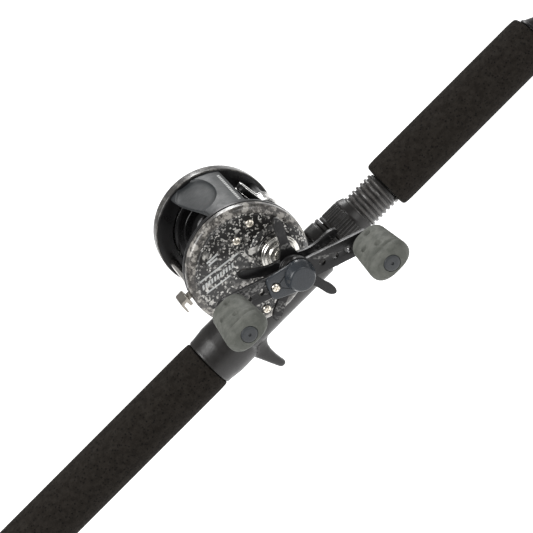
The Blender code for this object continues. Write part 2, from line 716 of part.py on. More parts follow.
def gear(name, teeth, module, first, centre, bore, out, thick, look):
    loops = [tooth_outline(teeth, module, first, centre), circle(bore, 16, centre)]
    return slab(name, loops, -out, -out + thick, "Y", look)


def idler_centre():
    """Where the idler reaches both the driver on the crank shaft and the cog on the worm."""
    to_driver = 0.5 * (DRIVER_TEETH + IDLER_TEETH) * LEVEL_WIND_MODULE
    to_cog = 0.5 * (IDLER_TEETH + COG_TEETH) * LEVEL_WIND_MODULE
    apart = math.dist(CRANK, WORM)
    along = (to_driver ** 2 - to_cog ** 2 + apart ** 2) / (2 * apart)
    aside = math.sqrt(to_driver ** 2 - along ** 2)
    turn = heading(CRANK, WORM)
    return (CRANK[0] + along * math.cos(turn) - aside * math.sin(turn),
            CRANK[1] + along * math.sin(turn) + aside * math.cos(turn))


def make_gears():
    module = 2 * math.dist(CRANK, REEL) / (MAIN_TEETH + PINION_TEETH)
    mesh_line = heading(CRANK, REEL)
    bore = SHAFT_R + RUN_GAP
    gear("main_gear", MAIN_TEETH, module, mesh_line, CRANK, bore, GEAR_LAYER_OUT, GEAR_THICK, BRASS)
    pinion_first = gap_facing(PINION_TEETH, mesh_line + math.pi)
    gear("pinion_gear", PINION_TEETH, module, pinion_first, REEL, SPOOL_SHAFT_R + RUN_GAP,
         GEAR_LAYER_OUT - 0.05, GEAR_THICK + 0.9, BRASS)
    idler = idler_centre()
    first = heading(CRANK, idler)
    gear("level_wind_driver", DRIVER_TEETH, LEVEL_WIND_MODULE, first, CRANK, SHAFT_END_R + RUN_GAP,
         WIND_LAYER_OUT, WIND_THICK, BRASS)
    idler_first = gap_facing(IDLER_TEETH, first + math.pi)
    gear("idler_gear", IDLER_TEETH, LEVEL_WIND_MODULE, idler_first, idler, IDLER_PIN_R + RUN_GAP,
         WIND_LAYER_OUT, WIND_THICK, SATIN_BLACK)
    to_cog = heading(idler, WORM)
    step = 2 * math.pi / IDLER_TEETH
    nearest = idler_first + step * round((to_cog - idler_first) / step)
    lag = (to_cog - nearest) * IDLER_TEETH / COG_TEETH
    cog_first = gap_facing(COG_TEETH, to_cog + math.pi) + lag
    gear("worm_cog", COG_TEETH, LEVEL_WIND_MODULE, cog_first, WORM, WORM_R + RUN_GAP,
         WIND_LAYER_OUT, WIND_THICK, STEEL)


def make_bridge():
    loops = [circle(PLATE_OPENING_R - 0.6, 40, REEL), circle(BEARING_R + SEAT_GAP, 20, REEL),
             circle(SHAFT_END_R + RUN_GAP, 16, CRANK)]
    bridge = slab("bridge_plate", loops, -BRIDGE_OUT, -BRIDGE_OUT + BRIDGE_THICK, "Y", STEEL)
    end = WIND_LAYER_OUT + 0.2
    profile = [(-BRIDGE_OUT + 0.5, 0), (-BRIDGE_OUT + 0.5, IDLER_PIN_R), (-end, IDLER_PIN_R), (-end, 0)]
    return join(bridge, lathe("pin", profile, "Y", idler_centre(), 12))


def make_drive_shaft():
    inner = BRIDGE_OUT - BRIDGE_THICK + 0.1
    step = WIND_LAYER_OUT + 0.15
    end = ARM_OUT + NUT_HEIGHT + 0.7
    profile = [(-inner, 0), (-inner, SHAFT_END_R), (-step, SHAFT_END_R), (-step, SHAFT_R),
               (-ARM_OUT, SHAFT_R), (-ARM_OUT, SHAFT_THREAD_R), (-end, SHAFT_THREAD_R), (-end, 0)]
    lathe("drive_shaft", profile, "Y", CRANK, 20, STEEL)
    bore = SHAFT_R + RUN_GAP
    low = -GEAR_LAYER_OUT - SEAT_GAP
    high = low - DRAG_THICK
    profile = [(low, bore), (low, DRAG_R), (high, DRAG_R), (high, bore)]
    lathe("drag_washer", profile, "Y", CRANK, 24, BRASS)
    seat = REEL_HALF_WIDTH + BOSS_HEIGHT + SEAT_GAP
    top = seat + CAP_HEIGHT
    bore = SHAFT_R + RUN_GAP
    profile = [(-seat, bore), (-seat, CAP_R), (-top + 1.4, CAP_R), (-top + 0.9, CAP_R - 0.9),
               (-top + 0.5, CAP_R - 1.2), (-top, CAP_R - 3.0), (-top, bore)]
    lathe("bearing_cap", profile, "Y", CRANK, 32, BRIGHT)


# ---- level wind -------------------------------------------------------------
def make_worm():
    start = WIND_LAYER_OUT + 0.2
    end = PLATE_OUT - 0.4
    profile = [(-start, 0), (-start, WORM_R), (end, WORM_R), (end, 0)]
    lathe("worm_shaft", profile, "Y", WORM, 16, STEEL)
    half = math.radians(TUBE_SLOT_HALF_ANGLE)
    first, last = -0.5 * math.pi + half, 1.5 * math.pi - half
    turns = [first + (last - first) * i / 22 for i in range(23)]
    outer = [(WORM[0] + TUBE_R * math.cos(t), WORM[1] + TUBE_R * math.sin(t)) for t in turns]
    inner = [(WORM[0] + TUBE_BORE_R * math.cos(t), WORM[1] + TUBE_BORE_R * math.sin(t)) for t in reversed(turns)]
    slab("worm_tube", [outer + inner], -SPAN_HALF, SPAN_HALF, "Y", BLACK_METAL)


def make_line_guide():
    """A sleeve that rides on the tube and an upright wire loop that the line runs through."""
    bore = TUBE_R + SEAT_GAP
    ends = CARRIAGE_HALF
    profile = [(-ends, bore), (-ends, CARRIAGE_R - 0.4), (-ends + 0.4, CARRIAGE_R), (ends - 0.4, CARRIAGE_R),
               (ends, CARRIAGE_R - 0.4), (ends, bore)]
    guide = lathe("line_guide", profile, "Y", WORM, 18, BRIGHT)
    lean = math.radians(LOOP_LEAN)
    up = Vector((-math.sin(lean), 0, math.cos(lean)))
    root = 0.5 * (bore + CARRIAGE_R)
    turn_at = LOOP_HEIGHT - LOOP_HALF - LOOP_WIRE_R
    path = [(-LOOP_HALF, root), (-LOOP_HALF, 0.5 * (root + turn_at))]
    path += [(-LOOP_HALF * math.cos(math.pi * i / 8), turn_at + LOOP_HALF * math.sin(math.pi * i / 8)) for i in range(9)]
    path += [(LOOP_HALF, 0.5 * (root + turn_at)), (LOOP_HALF, root)]
    centre = in_row(WORM[0], 0, WORM[1])
    points = [centre + MM * (Vector((0, y, 0)) + rise * up) for y, rise in path]
    join(guide, tube_along("loop", points, LOOP_WIRE_R * MM, 8, up))
    hole_r = PAWL_R + SEAT_GAP
    cutter = upright_pin("hole", WORM, -CARRIAGE_R - 1, -WORM_R, hole_r)
    cut(guide, cutter)
    upright_pin("pawl", WORM, -CARRIAGE_R - 0.2, -WORM_R - SEAT_GAP, PAWL_R, STEEL)


def upright_pin(name, centre, low, high, radius, look=None):
    loop = circle(radius, 12, (centre[0], 0))
    return slab(name, [loop], centre[1] + low, centre[1] + high, "Z", look)


def tube_along(name, points, radius, sides, up):
    """A round wire through points that lie in the plane of the Y axis and up."""
    normal = Vector((0, 1, 0)).cross(up).normalized()
    sections = []
    for i, point in enumerate(points):
        ahead = points[min(i + 1, len(points) - 1)] - points[max(i - 1, 0)]
        side = ahead.normalized().cross(normal).normalized()
        sections.append([point + radius * (math.cos(t) * side + math.sin(t) * normal)
                         for t in [2 * math.pi * k / sides for k in range(sides)]])
    return loft(name, sections)


# ---- crank ------------------------------------------------------------------
def arm_point(along, across=0.0, degrees=ARM_ANGLE):
    turn = math.radians(degrees)
    return (CRANK[0] + along * math.cos(turn) - across * math.sin(turn),
            CRANK[1] + along * math.sin(turn) + across * math.cos(turn))


def star_arm_outline(degrees):
    """One arm of the star from its root to its rounded tip and back."""
    half_widths = [(STAR_HUB_R - 0.4, 3.3), (10.0, 2.4), (14.0, 1.9), (18.0, 1.9), (21.5, 2.0)]
    tip = [(STAR_TIP_R - 0.8, 1.5), (STAR_TIP_R, 0.0), (STAR_TIP_R - 0.8, -1.5)]
    side = half_widths + tip + [(a, -w) for a, w in reversed(half_widths)]
    return [arm_point(a, -w, degrees) for a, w in side]


def make_star():
    """A five-armed wheel whose arms sweep outwards towards their tips."""
    outline = []
    for k in range(STAR_ARMS):
        outline += star_arm_outline(STAR_FIRST_ANGLE + 360 * k / STAR_ARMS)
    bore = SHAFT_R + RUN_GAP
    star = slab("star_drag", [outline, circle(bore, 20, CRANK)], -STAR_OUT, -STAR_OUT + STAR_THICK, "Y", BLACK_METAL)
    centre = Vector((CRANK[0] * MM, CRANK[1] * MM))
    for vert in star.data.vertices:
        reach = (Vector((vert.co.x, vert.co.z)) - centre).length / MM
        share = max(0.0, reach - STAR_HUB_R) / (STAR_TIP_R - STAR_HUB_R)
        vert.co.y -= STAR_RISE * MM * share ** 1.6
    low, high = STAR_OUT - 4.5, ARM_IN - 0.6
    hub = [(-low, bore), (-low, STAR_HUB_R - 0.6), (-low - 0.6, STAR_HUB_R), (-high + 0.5, STAR_HUB_R),
           (-high, STAR_HUB_R - 0.5), (-high, bore)]
    return join(star, lathe("hub", hub, "Y", CRANK, 20))


def make_crank_arm():
    end = KNOB_RADIUS
    cap = [(end + ARM_HALF_WIDTH * math.sin(t), ARM_HALF_WIDTH * math.cos(t))
           for t in [math.pi * i / 8 for i in range(1, 8)]]
    bulge = math.sqrt(ARM_HUB_R ** 2 - ARM_HALF_WIDTH ** 2)
    hub = [(s, math.sqrt(ARM_HUB_R ** 2 - s ** 2)) for s in
           [bulge * math.cos(math.pi * i / 8) for i in range(9)]]
    upper = [(end, ARM_HALF_WIDTH)] + hub + [(-end, ARM_HALF_WIDTH)]
    lower = [(-a, -w) for a, w in upper]
    order = upper + [(-a, w) for a, w in cap] + lower + [(a, -w) for a, w in cap]
    loops = [[arm_point(a, w) for a, w in order], circle(SHAFT_R + RUN_GAP, 20, CRANK)]
    for sign in (-1, 1):
        loops += [circle(ARM_HOLE_R, 12, arm_point(sign * a)) for a in ARM_HOLES]
        loops.append(circle(SPINDLE_R + RUN_GAP, 12, arm_point(sign * KNOB_RADIUS)))
    return slab("crank_arm", loops, -ARM_OUT, -ARM_IN, "Y", BLACK_METAL)


def make_crank_nut():
    start, end = ARM_OUT + SEAT_GAP, ARM_OUT + SEAT_GAP + NUT_HEIGHT
    loops = [circle(NUT_HALF, 6, CRANK), circle(SHAFT_THREAD_R + RUN_GAP, 18, CRANK)]
    slab("crank_nut", loops, -end, -start, "Y", STEEL)
    top = start + DOME_HEIGHT
    cavity_r, cavity_top = NUT_HALF + 0.6, ARM_OUT + NUT_HEIGHT + 1.2
    profile = [(-start, cavity_r), (-start, DOME_R), (-start - 1.9, DOME_R), (-top + 1.6, DOME_TOP_R + 0.6),
               (-top + 0.6, DOME_TOP_R), (-top, DOME_TOP_R - 1.0), (-top, 0), (-cavity_top, 0),
               (-cavity_top, cavity_r)]
    dome = lathe("nut_cover", profile, "Y", CRANK, 24, SLATE)
    screw_at = arm_point(-ARM_HOLES[0])
    tail = [arm_point(-5.2, w) for w in (TAIL_R, -TAIL_R)]
    turn = math.radians(ARM_ANGLE)
    tail += [(screw_at[0] + TAIL_R * math.cos(turn - 0.5 * math.pi - math.pi * i / 8),
              screw_at[1] + TAIL_R * math.sin(turn - 0.5 * math.pi - math.pi * i / 8)) for i in range(9)]
    hole = circle(SCREW_SHANK_R + 0.2, 12, screw_at)
    join(dome, slab("tail", [tail, hole], -start - 1.7, -start, "Y"))
    face = start + 1.7 + 0.05
    profile = [(-ARM_IN - 0.3, 0), (-ARM_IN - 0.3, SCREW_SHANK_R), (-face, SCREW_SHANK_R), (-face, 1.9),
               (-face - 0.5, 1.9), (-face - 0.9, 1.2), (-face - 1.0, 0)]
    lathe("nut_cover_screw", profile, "Y", screw_at, 14, BRIGHT)


def knob_centre(sign):
    return arm_point(sign * KNOB_RADIUS)


def make_knob(name, sign):
    """A flat paddle that widens towards its outer end, bored for its spindle."""
    centre = knob_centre(sign)
    stations = [(0.0, 0.72, 0.76), (0.04, 0.86, 0.92), (0.12, 0.97, 1.0), (0.5, 1.0, 1.0), (0.85, 1.0, 0.97),
                (0.95, 0.92, 0.9), (1.0, 0.78, 0.78)]
    rings = []
    for share, swell, puff in stations:
        half = (KNOB_ROOT_HALF + (KNOB_END_HALF - KNOB_ROOT_HALF) * share) * swell
        thick = KNOB_HALF_THICK * puff
        y = -(KNOB_START + KNOB_LENGTH * share)
        rings.append([in_row(centre[0] + half * rounded(math.cos(t)), y, centre[1] + thick * rounded(math.sin(t)))
                      for t in [2 * math.pi * i / 18 for i in range(18)]])
    knob = loft(name, rings, KNOB_GREY)
    bore, well = SPINDLE_R + RUN_GAP, KNOB_CAP_R + 0.1
    end = KNOB_START + KNOB_LENGTH
    cutter = [(-KNOB_START + 1, 0), (-KNOB_START + 1, bore), (-end + 3.0, bore), (-end + 3.0, well),
              (-end - 1, well), (-end - 1, 0)]
    cut(knob, lathe("bore", cutter, "Y", centre, 20))
    face = end - 0.9
    profile = [(-face, 0), (-face, KNOB_CAP_R), (-end - 0.2, KNOB_CAP_R), (-end - 0.6, KNOB_CAP_R - 0.5),
               (-end - 0.6, 0.7), (-end - 0.2, 0.5), (-end - 0.2, 0)]
    lathe(name + "_cap", profile, "Y", centre, 20, KNOB_GREY)


def make_spindles():
    end = KNOB_START + KNOB_LENGTH
    profile = [(-ARM_IN, 0), (-ARM_IN, SPINDLE_R), (-end + 2.7, SPINDLE_R), (-end + 2.7, 2.6),
               (-end + 1.2, 2.6), (-end + 1.2, 0)]
    for letter, sign in (("a", -1), ("b", 1)):
        lathe("knob_spindle_" + letter, profile, "Y", knob_centre(sign), 16, STEEL)


# ---- buttons ----------------------------------------------------------------
def make_release_button():
    """The spool release: a flat tab with a turned-down lip, on a stem through the side plate."""
    inner = REEL_X - SIDE_R - SEAT_GAP
    outer = inner - RELEASE_REACH
    low = REEL_Z + RELEASE_STEM_Z
    top = low + RELEASE_STEM + 0.8
    wall = 1.4
    outline = [(inner, low - 0.4), (inner, top - 0.4), (inner - 0.4, top), (outer + 0.6, top - 0.3),
               (outer, top - 1.0), (outer, low - 1.9), (outer + 0.9, low - 1.9), (outer + wall, top - wall - 0.4),
               (inner - wall, top - wall - 0.2), (inner - wall, low - 0.4)]
    middle = -0.5 * (PLATE_IN + PLATE_OUT)
    tab = slab("release_button", [outline], middle - RELEASE_HALF_WIDTH, middle + RELEASE_HALF_WIDTH, "Y", SLATE)
    half = 0.5 * PLATE_THICK - FLANK_GAP + 0.05
    stem = box("stem", (inner - 1.0, middle - half, low), (REEL_X - 24.0, middle + half, low + RELEASE_STEM))
    return join(tab, stem)


def make_cast_control():
    face = REEL_HALF_WIDTH + 0.1
    start = SPOOL_FLANGE_OUT + 3.5
    profile = [(start, 0), (start, CAST_STEM_R), (face, CAST_STEM_R), (face, CAST_KNOB_R - 0.4),
               (face + 0.4, CAST_KNOB_R), (face + 4.4, CAST_KNOB_R - 0.3), (face + 5.2, CAST_KNOB_R - 1.2),
               (face + 5.4, 0)]
    lathe("cast_control_knob", profile, "Y", REEL, 24, BLACK_METAL)


def make_clicker():
    face = REEL_HALF_WIDTH + 0.1
    floor = REEL_HALF_WIDTH - COVER_FACE
    centre = (REEL_X + CLICKER_X, REEL_Z + CLICKER_Z)
    profile = [(floor - 1.6, 0), (floor - 1.6, CLICKER_STEM_R), (face, CLICKER_STEM_R), (face, 3.1),
               (face + 0.8, 3.1), (face + 1.8, 2.3), (face + 1.9, 0)]
    lathe("clicker_button", profile, "Y", centre, 20, SLATE)


def main():
    clear_scene()
    make_blank()
    make_butt_cap()
    make_grips()
    make_reel_seat()
    make_hood_and_nut()
    make_guides()
    make_tip()
    make_plates()
    make_foot()
    make_bars()
    make_thumb_rest()
    make_gear_cover()
    make_palm_cover()
    make_cover_screws()
    make_spool()
    make_gears()
    make_bridge()
    make_drive_shaft()
    make_worm()
    make_line_guide()
    make_star()
    make_crank_arm()
    make_crank_nut()
    make_knob("knob_a", -1)
    make_knob("knob_b", 1)
    make_spindles()
    make_release_button()
    make_cast_control()
    make_clicker()


main()
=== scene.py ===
# %% [markdown]
# # A casting rod and its round reel
# The working model is already made: every shaft, gear and grip has its size and place.
# This script gives each visible piece its finished shape and material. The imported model
# comes in first as a fixed frame, and every piece made here rides on one of its bodies.

# %% Load the frame
import json
import math

import bmesh
import bpy
from mathutils import Matrix, Vector

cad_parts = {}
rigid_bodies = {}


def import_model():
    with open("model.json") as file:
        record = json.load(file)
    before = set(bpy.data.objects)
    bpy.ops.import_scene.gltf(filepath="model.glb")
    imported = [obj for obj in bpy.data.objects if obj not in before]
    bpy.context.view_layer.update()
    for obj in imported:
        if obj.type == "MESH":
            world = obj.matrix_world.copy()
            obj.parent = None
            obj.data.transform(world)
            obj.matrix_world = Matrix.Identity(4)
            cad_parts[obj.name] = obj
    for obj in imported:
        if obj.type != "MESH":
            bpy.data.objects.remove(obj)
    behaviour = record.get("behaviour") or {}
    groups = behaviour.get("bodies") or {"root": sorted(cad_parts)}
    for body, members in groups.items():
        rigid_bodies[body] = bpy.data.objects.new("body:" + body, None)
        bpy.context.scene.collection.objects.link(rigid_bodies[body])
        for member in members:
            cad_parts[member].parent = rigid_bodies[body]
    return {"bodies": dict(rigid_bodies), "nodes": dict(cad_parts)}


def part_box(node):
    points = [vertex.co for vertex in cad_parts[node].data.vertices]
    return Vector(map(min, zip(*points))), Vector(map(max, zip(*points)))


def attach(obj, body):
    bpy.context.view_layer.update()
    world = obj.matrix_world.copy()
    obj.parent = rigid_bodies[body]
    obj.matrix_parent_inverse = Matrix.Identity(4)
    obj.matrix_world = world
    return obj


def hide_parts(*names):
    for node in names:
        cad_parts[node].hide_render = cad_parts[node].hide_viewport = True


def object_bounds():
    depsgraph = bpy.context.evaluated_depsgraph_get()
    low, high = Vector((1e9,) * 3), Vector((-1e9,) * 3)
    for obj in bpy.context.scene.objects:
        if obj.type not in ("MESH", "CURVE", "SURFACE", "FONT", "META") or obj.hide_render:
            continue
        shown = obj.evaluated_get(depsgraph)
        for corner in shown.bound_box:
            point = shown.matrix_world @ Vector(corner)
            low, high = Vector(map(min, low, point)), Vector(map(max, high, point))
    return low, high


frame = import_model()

cad_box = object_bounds()
MM = 0.001
scene = bpy.context.scene
print("bodies:", ", ".join(frame["bodies"]))

# %% [markdown]
# ## Where things are
# The rod lies along X with its butt at zero, and the reel sits on it, up along Z. Most
# pieces are turned about one of a few axes: the rod, the spool, the crank shaft, the worm
# and the two knobs. The middle of a node's box gives each axis, so nothing is measured twice.

# %% Axes of the reel
def middle(node):
    """The middle of a node's box, in millimetres."""
    low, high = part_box(node)
    return (low + high) / 2 / MM


def axis_of(node):
    """Where a turned piece's axis crosses the XZ plane, in millimetres."""
    point = middle(node)
    return point.x, point.z


REEL = axis_of("spool")
CRANK = axis_of("bearing_cap")
WORM = axis_of("worm_shaft")
KNOBS = {"knob_a": axis_of("knob_a_cap"), "knob_b": axis_of("knob_b_cap")}
ARM_TURN = math.atan2(KNOBS["knob_b"][1] - CRANK[1], KNOBS["knob_b"][0] - CRANK[0])
SIDE_R = (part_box("gear_cover")[1].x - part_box("gear_cover")[0].x) / 2 / MM
print("spool axis", REEL, "crank axis", CRANK, "side plate radius", round(SIDE_R, 2))

# %% [markdown]
# ## Camera
# A long lens looks at the crank side from above and is rolled, so the rod climbs
# from one corner of the frame to the other. It comes first because every
# other choice of shape and light is judged through it.

# %% Camera
CAMERA_AZIMUTH, CAMERA_ELEVATION, CAMERA_ROLL = 2.15, 30.0, -46.12
CAMERA_DISTANCE = 930.0
FOCAL_LENGTH = 139.1


def add_camera():
    turn, rise, roll = (math.radians(a) for a in (CAMERA_AZIMUTH, CAMERA_ELEVATION, CAMERA_ROLL))
    target = Vector((REEL[0] + 3.9, 0, 14.2)) * MM
    back = Vector((math.sin(turn) * math.cos(rise), -math.cos(turn) * math.cos(rise),
                   math.sin(rise)))
    level = (-back).cross(Vector((0, 0, 1))).normalized()
    upright = level.cross(-back)
    right = math.cos(roll) * level + math.sin(roll) * upright
    up = math.cos(roll) * upright - math.sin(roll) * level
    data = bpy.data.cameras.new("camera")
    data.lens, data.sensor_width = FOCAL_LENGTH, 36.0
    data.clip_start, data.clip_end = 0.01, 50.0
    camera = bpy.data.objects.new("camera", data)
    turn_to = Matrix((right, up, back)).transposed().to_4x4()
    camera.matrix_world = Matrix.Translation(target + back * CAMERA_DISTANCE * MM) @ turn_to
    scene.collection.objects.link(camera)
    scene.camera = camera
    return camera


print("camera at", [round(v, 3) for v in add_camera().matrix_world.translation])

# %% [markdown]
# ## Mesh helpers
# Nearly every part of a reel is either turned on a lathe or cut from plate. The lathe
# helper takes a closed profile whose corners may carry a radius, so edges are rounded in the
# shape itself and catch the light. The plate helper fills flat loops, extrudes them and
# leaves the edges to a Bevel modifier.

# %% Profiles with rounded corners
def fillet(corners, steps=4, closed=True):
    """Replace each corner (a, b, radius) with a short curve; (a, b) stays sharp."""
    points = []
    count = len(corners)
    for i, corner in enumerate(corners):
        here = Vector(corner[:2])
        radius = corner[2] if len(corner) > 2 else 0.0
        if radius <= 0 or (not closed and i in (0, count - 1)):
            points.append(here)
            continue
        before = Vector(corners[i - 1][:2]) - here
        after = Vector(corners[(i + 1) % count][:2]) - here
        reach = min(radius, 0.48 * before.length, 0.48 * after.length)
        start, end = here + before.normalized() * reach, here + after.normalized() * reach
        for k in range(steps + 1):
            t = k / steps
            points.append(start * (1 - t) ** 2 + here * 2 * t * (1 - t) + end * t ** 2)
    return [(p.x, p.y) for p in points]


print("a square with a rounded corner has", len(fillet([(0, 0), (1, 0, 0.2), (1, 1), (0, 1)])),
      "points")

# %% Making and joining meshes
def as_object(name, bm):
    """Close, face outwards and link."""
    bmesh.ops.remove_doubles(bm, verts=bm.verts, dist=1e-7)
    bmesh.ops.recalc_face_normals(bm, faces=bm.faces)
    mesh = bpy.data.meshes.new(name)
    bm.to_mesh(mesh)
    bm.free()
    obj = bpy.data.objects.new(name, mesh)
    scene.collection.objects.link(obj)
    return obj


def skin(bm, here, there):
    """Faces between two rings, either of which may be a single point."""
    count = max(len(here), len(there))
    if count == 1:
        return
    for i in range(count):
        j = (i + 1) % count
        if len(here) == 1:
            bm.faces.new((here[0], there[j], there[i]))
        elif len(there) == 1:
            bm.faces.new((here[i], here[j], there[0]))
        else:
            bm.faces.new((here[i], here[j], there[j], there[i]))


def turned(name, corners, axis, centre, sides=96, steps=4):
    """A lathe-turned body; corners are (along, radius, rounding) in millimetres."""
    bm = bmesh.new()
    rings = []
    for along, radius in fillet(corners, steps):
        ring = []
        for i in range(sides if radius > 1e-5 else 1):
            turn = 2 * math.pi * i / sides
            a, b = radius * math.cos(turn), radius * math.sin(turn)
            place = (along, centre[0] + a, centre[1] + b) if axis == "X" else (centre[0] + a,
                    along, centre[1] + b)
            ring.append(bm.verts.new(Vector(place) * MM))
        rings.append(ring)
    for here, there in zip(rings, rings[1:] + rings[:1]):
        skin(bm, here, there)
    return as_object(name, bm)


def lofted(name, sections):
    """Skin closed sections, given in millimetres, and cap both ends."""
    bm = bmesh.new()
    rings = [[bm.verts.new(Vector(p) * MM) for p in section] for section in sections]
    for here, there in zip(rings, rings[1:]):
        skin(bm, here, there)
    for ring in (rings[0], rings[-1]):
        bm.faces.new(ring)
    return as_object(name, bm)


def place_flat(axis, along, point):
    if axis == "X":
        return Vector((along, point[0], point[1])) * MM
    if axis == "Y":
        return Vector((point[0], along, point[1])) * MM
    return Vector((point[0], point[1], along)) * MM


def plate(name, loops, low, high, axis="Y", bevel=0.4):
    """Flat loops filled and extruded; the first is the outline and the others are holes."""
    bm = bmesh.new()
    edges = []
    for loop in loops:
        verts = [bm.verts.new(place_flat(axis, low, p)) for p in loop]
        edges += [bm.edges.new(pair) for pair in zip(verts, verts[1:] + verts[:1])]
    bmesh.ops.triangle_fill(bm, use_beauty=True, use_dissolve=False, edges=edges)
    grown = bmesh.ops.extrude_face_region(bm, geom=list(bm.faces))["geom"]
    step = place_flat(axis, high, (0, 0)) - place_flat(axis, low, (0, 0))
    bmesh.ops.translate(bm, verts=[g for g in grown if isinstance(g, bmesh.types.BMVert)], vec=step)
    obj = as_object(name, bm)
    if bevel:
        soften(obj, bevel)
    return obj


def soften(obj, width, segments=3):
    edge = obj.modifiers.new("soft edge", "BEVEL")
    edge.width, edge.segments = width * MM, segments
    edge.limit_method, edge.angle_limit = "ANGLE", math.radians(40)
    return edge


def circle(radius, sides, centre=(0.0, 0.0), start=0.0):
    turns = [start + 2 * math.pi * i / sides for i in range(sides)]
    return [(centre[0] + radius * math.cos(t), centre[1] + radius * math.sin(t)) for t in turns]


def flatten(obj):
    """Turn an object with modifiers into a plain mesh."""
    bpy.context.view_layer.update()
    graph = bpy.context.evaluated_depsgraph_get()
    mesh = bpy.data.meshes.new_from_object(obj.evaluated_get(graph))
    obj.modifiers.clear()
    old, obj.data = obj.data, mesh
    bpy.data.meshes.remove(old)
    return obj


def merge(name, objects):
    """Put several plain or modified objects into one."""
    bm = bmesh.new()
    for obj in objects:
        flatten(obj)
        bm.from_mesh(obj.data)
        bpy.data.objects.remove(obj)
    mesh = bpy.data.meshes.new(name)
    bm.to_mesh(mesh)
    bm.free()
    whole = bpy.data.objects.new(name, mesh)
    scene.collection.objects.link(whole)
    return whole


def carve(obj, cutter):
    """Take the cutter's shape out of obj."""
    step = obj.modifiers.new("carve", "BOOLEAN")
    step.operation, step.solver, step.object = "DIFFERENCE", "EXACT", cutter
    flatten(obj)
    bpy.data.objects.remove(cutter)
    return obj


def settle(obj, body, look, replaces=(), sharp=32):
    """Finish a piece: plain mesh, one material, smooth faces, riding on its body."""
    flatten(obj)
    obj.data.materials.clear()
    obj.data.materials.append(look)
    obj.data.shade_smooth()
    obj.data.set_sharp_from_angle(angle=math.radians(sharp))
    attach(obj, body)
    if replaces:
        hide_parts(*replaces)
    print("%-22s rides on %-12s %6d faces" % (obj.name, body, len(obj.data.polygons)))
    return obj


print("mesh helpers ready")

# %% [markdown]
# ## Shader groups
# Four effects come back in many finishes: a fine grain, a mottle of lighter and darker
# patches, edges rubbed bright by use, and dust that settles on top. Each is a node group
# with named sockets, built once and placed with each finish's own values.

# %% Building node groups
def new_group(name, inputs, outputs):
    """An empty shader group with float inputs and the named outputs."""
    group = bpy.data.node_groups.new(name, "ShaderNodeTree")
    for label, value in inputs:
        socket = group.interface.new_socket(label, in_out="INPUT", socket_type="NodeSocketFloat")
        socket.default_value = value
    for label in outputs:
        group.interface.new_socket(label, in_out="OUTPUT", socket_type="NodeSocketFloat")
    return group, group.nodes.new("NodeGroupInput"), group.nodes.new("NodeGroupOutput")


def math_node(tree, operation, *values, clamp=False):
    node = tree.nodes.new("ShaderNodeMath")
    node.operation, node.use_clamp = operation, clamp
    for socket, value in zip(node.inputs, values):
        if isinstance(value, (int, float)):
            socket.default_value = value
        else:
            tree.links.new(value, socket)
    return node.outputs[0]


def noise_node(tree, scale, detail=4.0, roughness=0.55, vector=None):
    node = tree.nodes.new("ShaderNodeTexNoise")
    node.inputs["Detail"].default_value = detail
    node.inputs["Roughness"].default_value = roughness
    if isinstance(scale, (int, float)):
        node.inputs["Scale"].default_value = scale
    else:
        tree.links.new(scale, node.inputs["Scale"])
    tree.links.new(vector or tree.nodes.new("ShaderNodeTexCoord").outputs["Object"],
                   node.inputs["Vector"])
    return node.outputs["Fac"]


def ramp_node(tree, value, low, high, to_low=0.0, to_high=1.0):
    node = tree.nodes.new("ShaderNodeMapRange")
    node.interpolation_type = "SMOOTHSTEP"
    for label, number in (("From Min", low), ("From Max", high), ("To Min", to_low),
                          ("To Max", to_high)):
        node.inputs[label].default_value = number
    tree.links.new(value, node.inputs["Value"])
    return node.outputs["Result"]


def make_fine_grain():
    group, given, out = new_group("fine_grain", [("Size", 4000.0), ("Strength", 1.0)], ["Height"])
    coarse = noise_node(group, given.outputs["Size"], 3.0, 0.6)
    doubled = math_node(group, "MULTIPLY", given.outputs["Size"], 2.7)
    fine = noise_node(group, doubled, 2.0, 0.6)
    both = math_node(group, "ADD", coarse, math_node(group, "MULTIPLY", fine, 0.5))
    group.links.new(math_node(group, "MULTIPLY", both, given.outputs["Strength"]),
                    out.inputs["Height"])
    return group


def make_mottle():
    group, given, out = new_group("mottle", [("Size", 120.0), ("Strength", 1.0)], ["Mask"])
    patches = ramp_node(group, noise_node(group, given.outputs["Size"], 5.0, 0.6), 0.35, 0.65)
    group.links.new(math_node(group, "MULTIPLY", patches, given.outputs["Strength"]),
                    out.inputs["Mask"])
    return group


def make_worn_edges():
    group, given, out = new_group("worn_edges", [("Amount", 0.5), ("Size", 900.0)], ["Mask"])
    ridge = ramp_node(group, group.nodes.new("ShaderNodeNewGeometry").outputs["Pointiness"], 0.52,
                      0.60)
    broken = ramp_node(group, noise_node(group, given.outputs["Size"], 4.0), 0.40, 0.62)
    rubbed = math_node(group, "MULTIPLY", ridge, broken)
    group.links.new(math_node(group, "MULTIPLY", rubbed, given.outputs["Amount"]),
                    out.inputs["Mask"])
    return group


def make_settled_dust():
    group, given, out = new_group("settled_dust", [("Amount", 0.1)], ["Mask"])
    parts = group.nodes.new("ShaderNodeSeparateXYZ")
    group.links.new(group.nodes.new("ShaderNodeNewGeometry").outputs["Normal"], parts.inputs[0])
    upward = ramp_node(group, parts.outputs["Z"], 0.1, 1.0)
    cloudy = ramp_node(group, noise_node(group, 260.0, 6.0, 0.7), 0.4, 0.75)
    dust = math_node(group, "MULTIPLY", upward, cloudy)
    group.links.new(math_node(group, "MULTIPLY", dust, given.outputs["Amount"]), out.inputs["Mask"])
    return group


GROUPS = {g.name: g for g in (make_fine_grain(), make_mottle(), make_worn_edges(),
                              make_settled_dust())}
print("shader groups:", ", ".join(GROUPS))

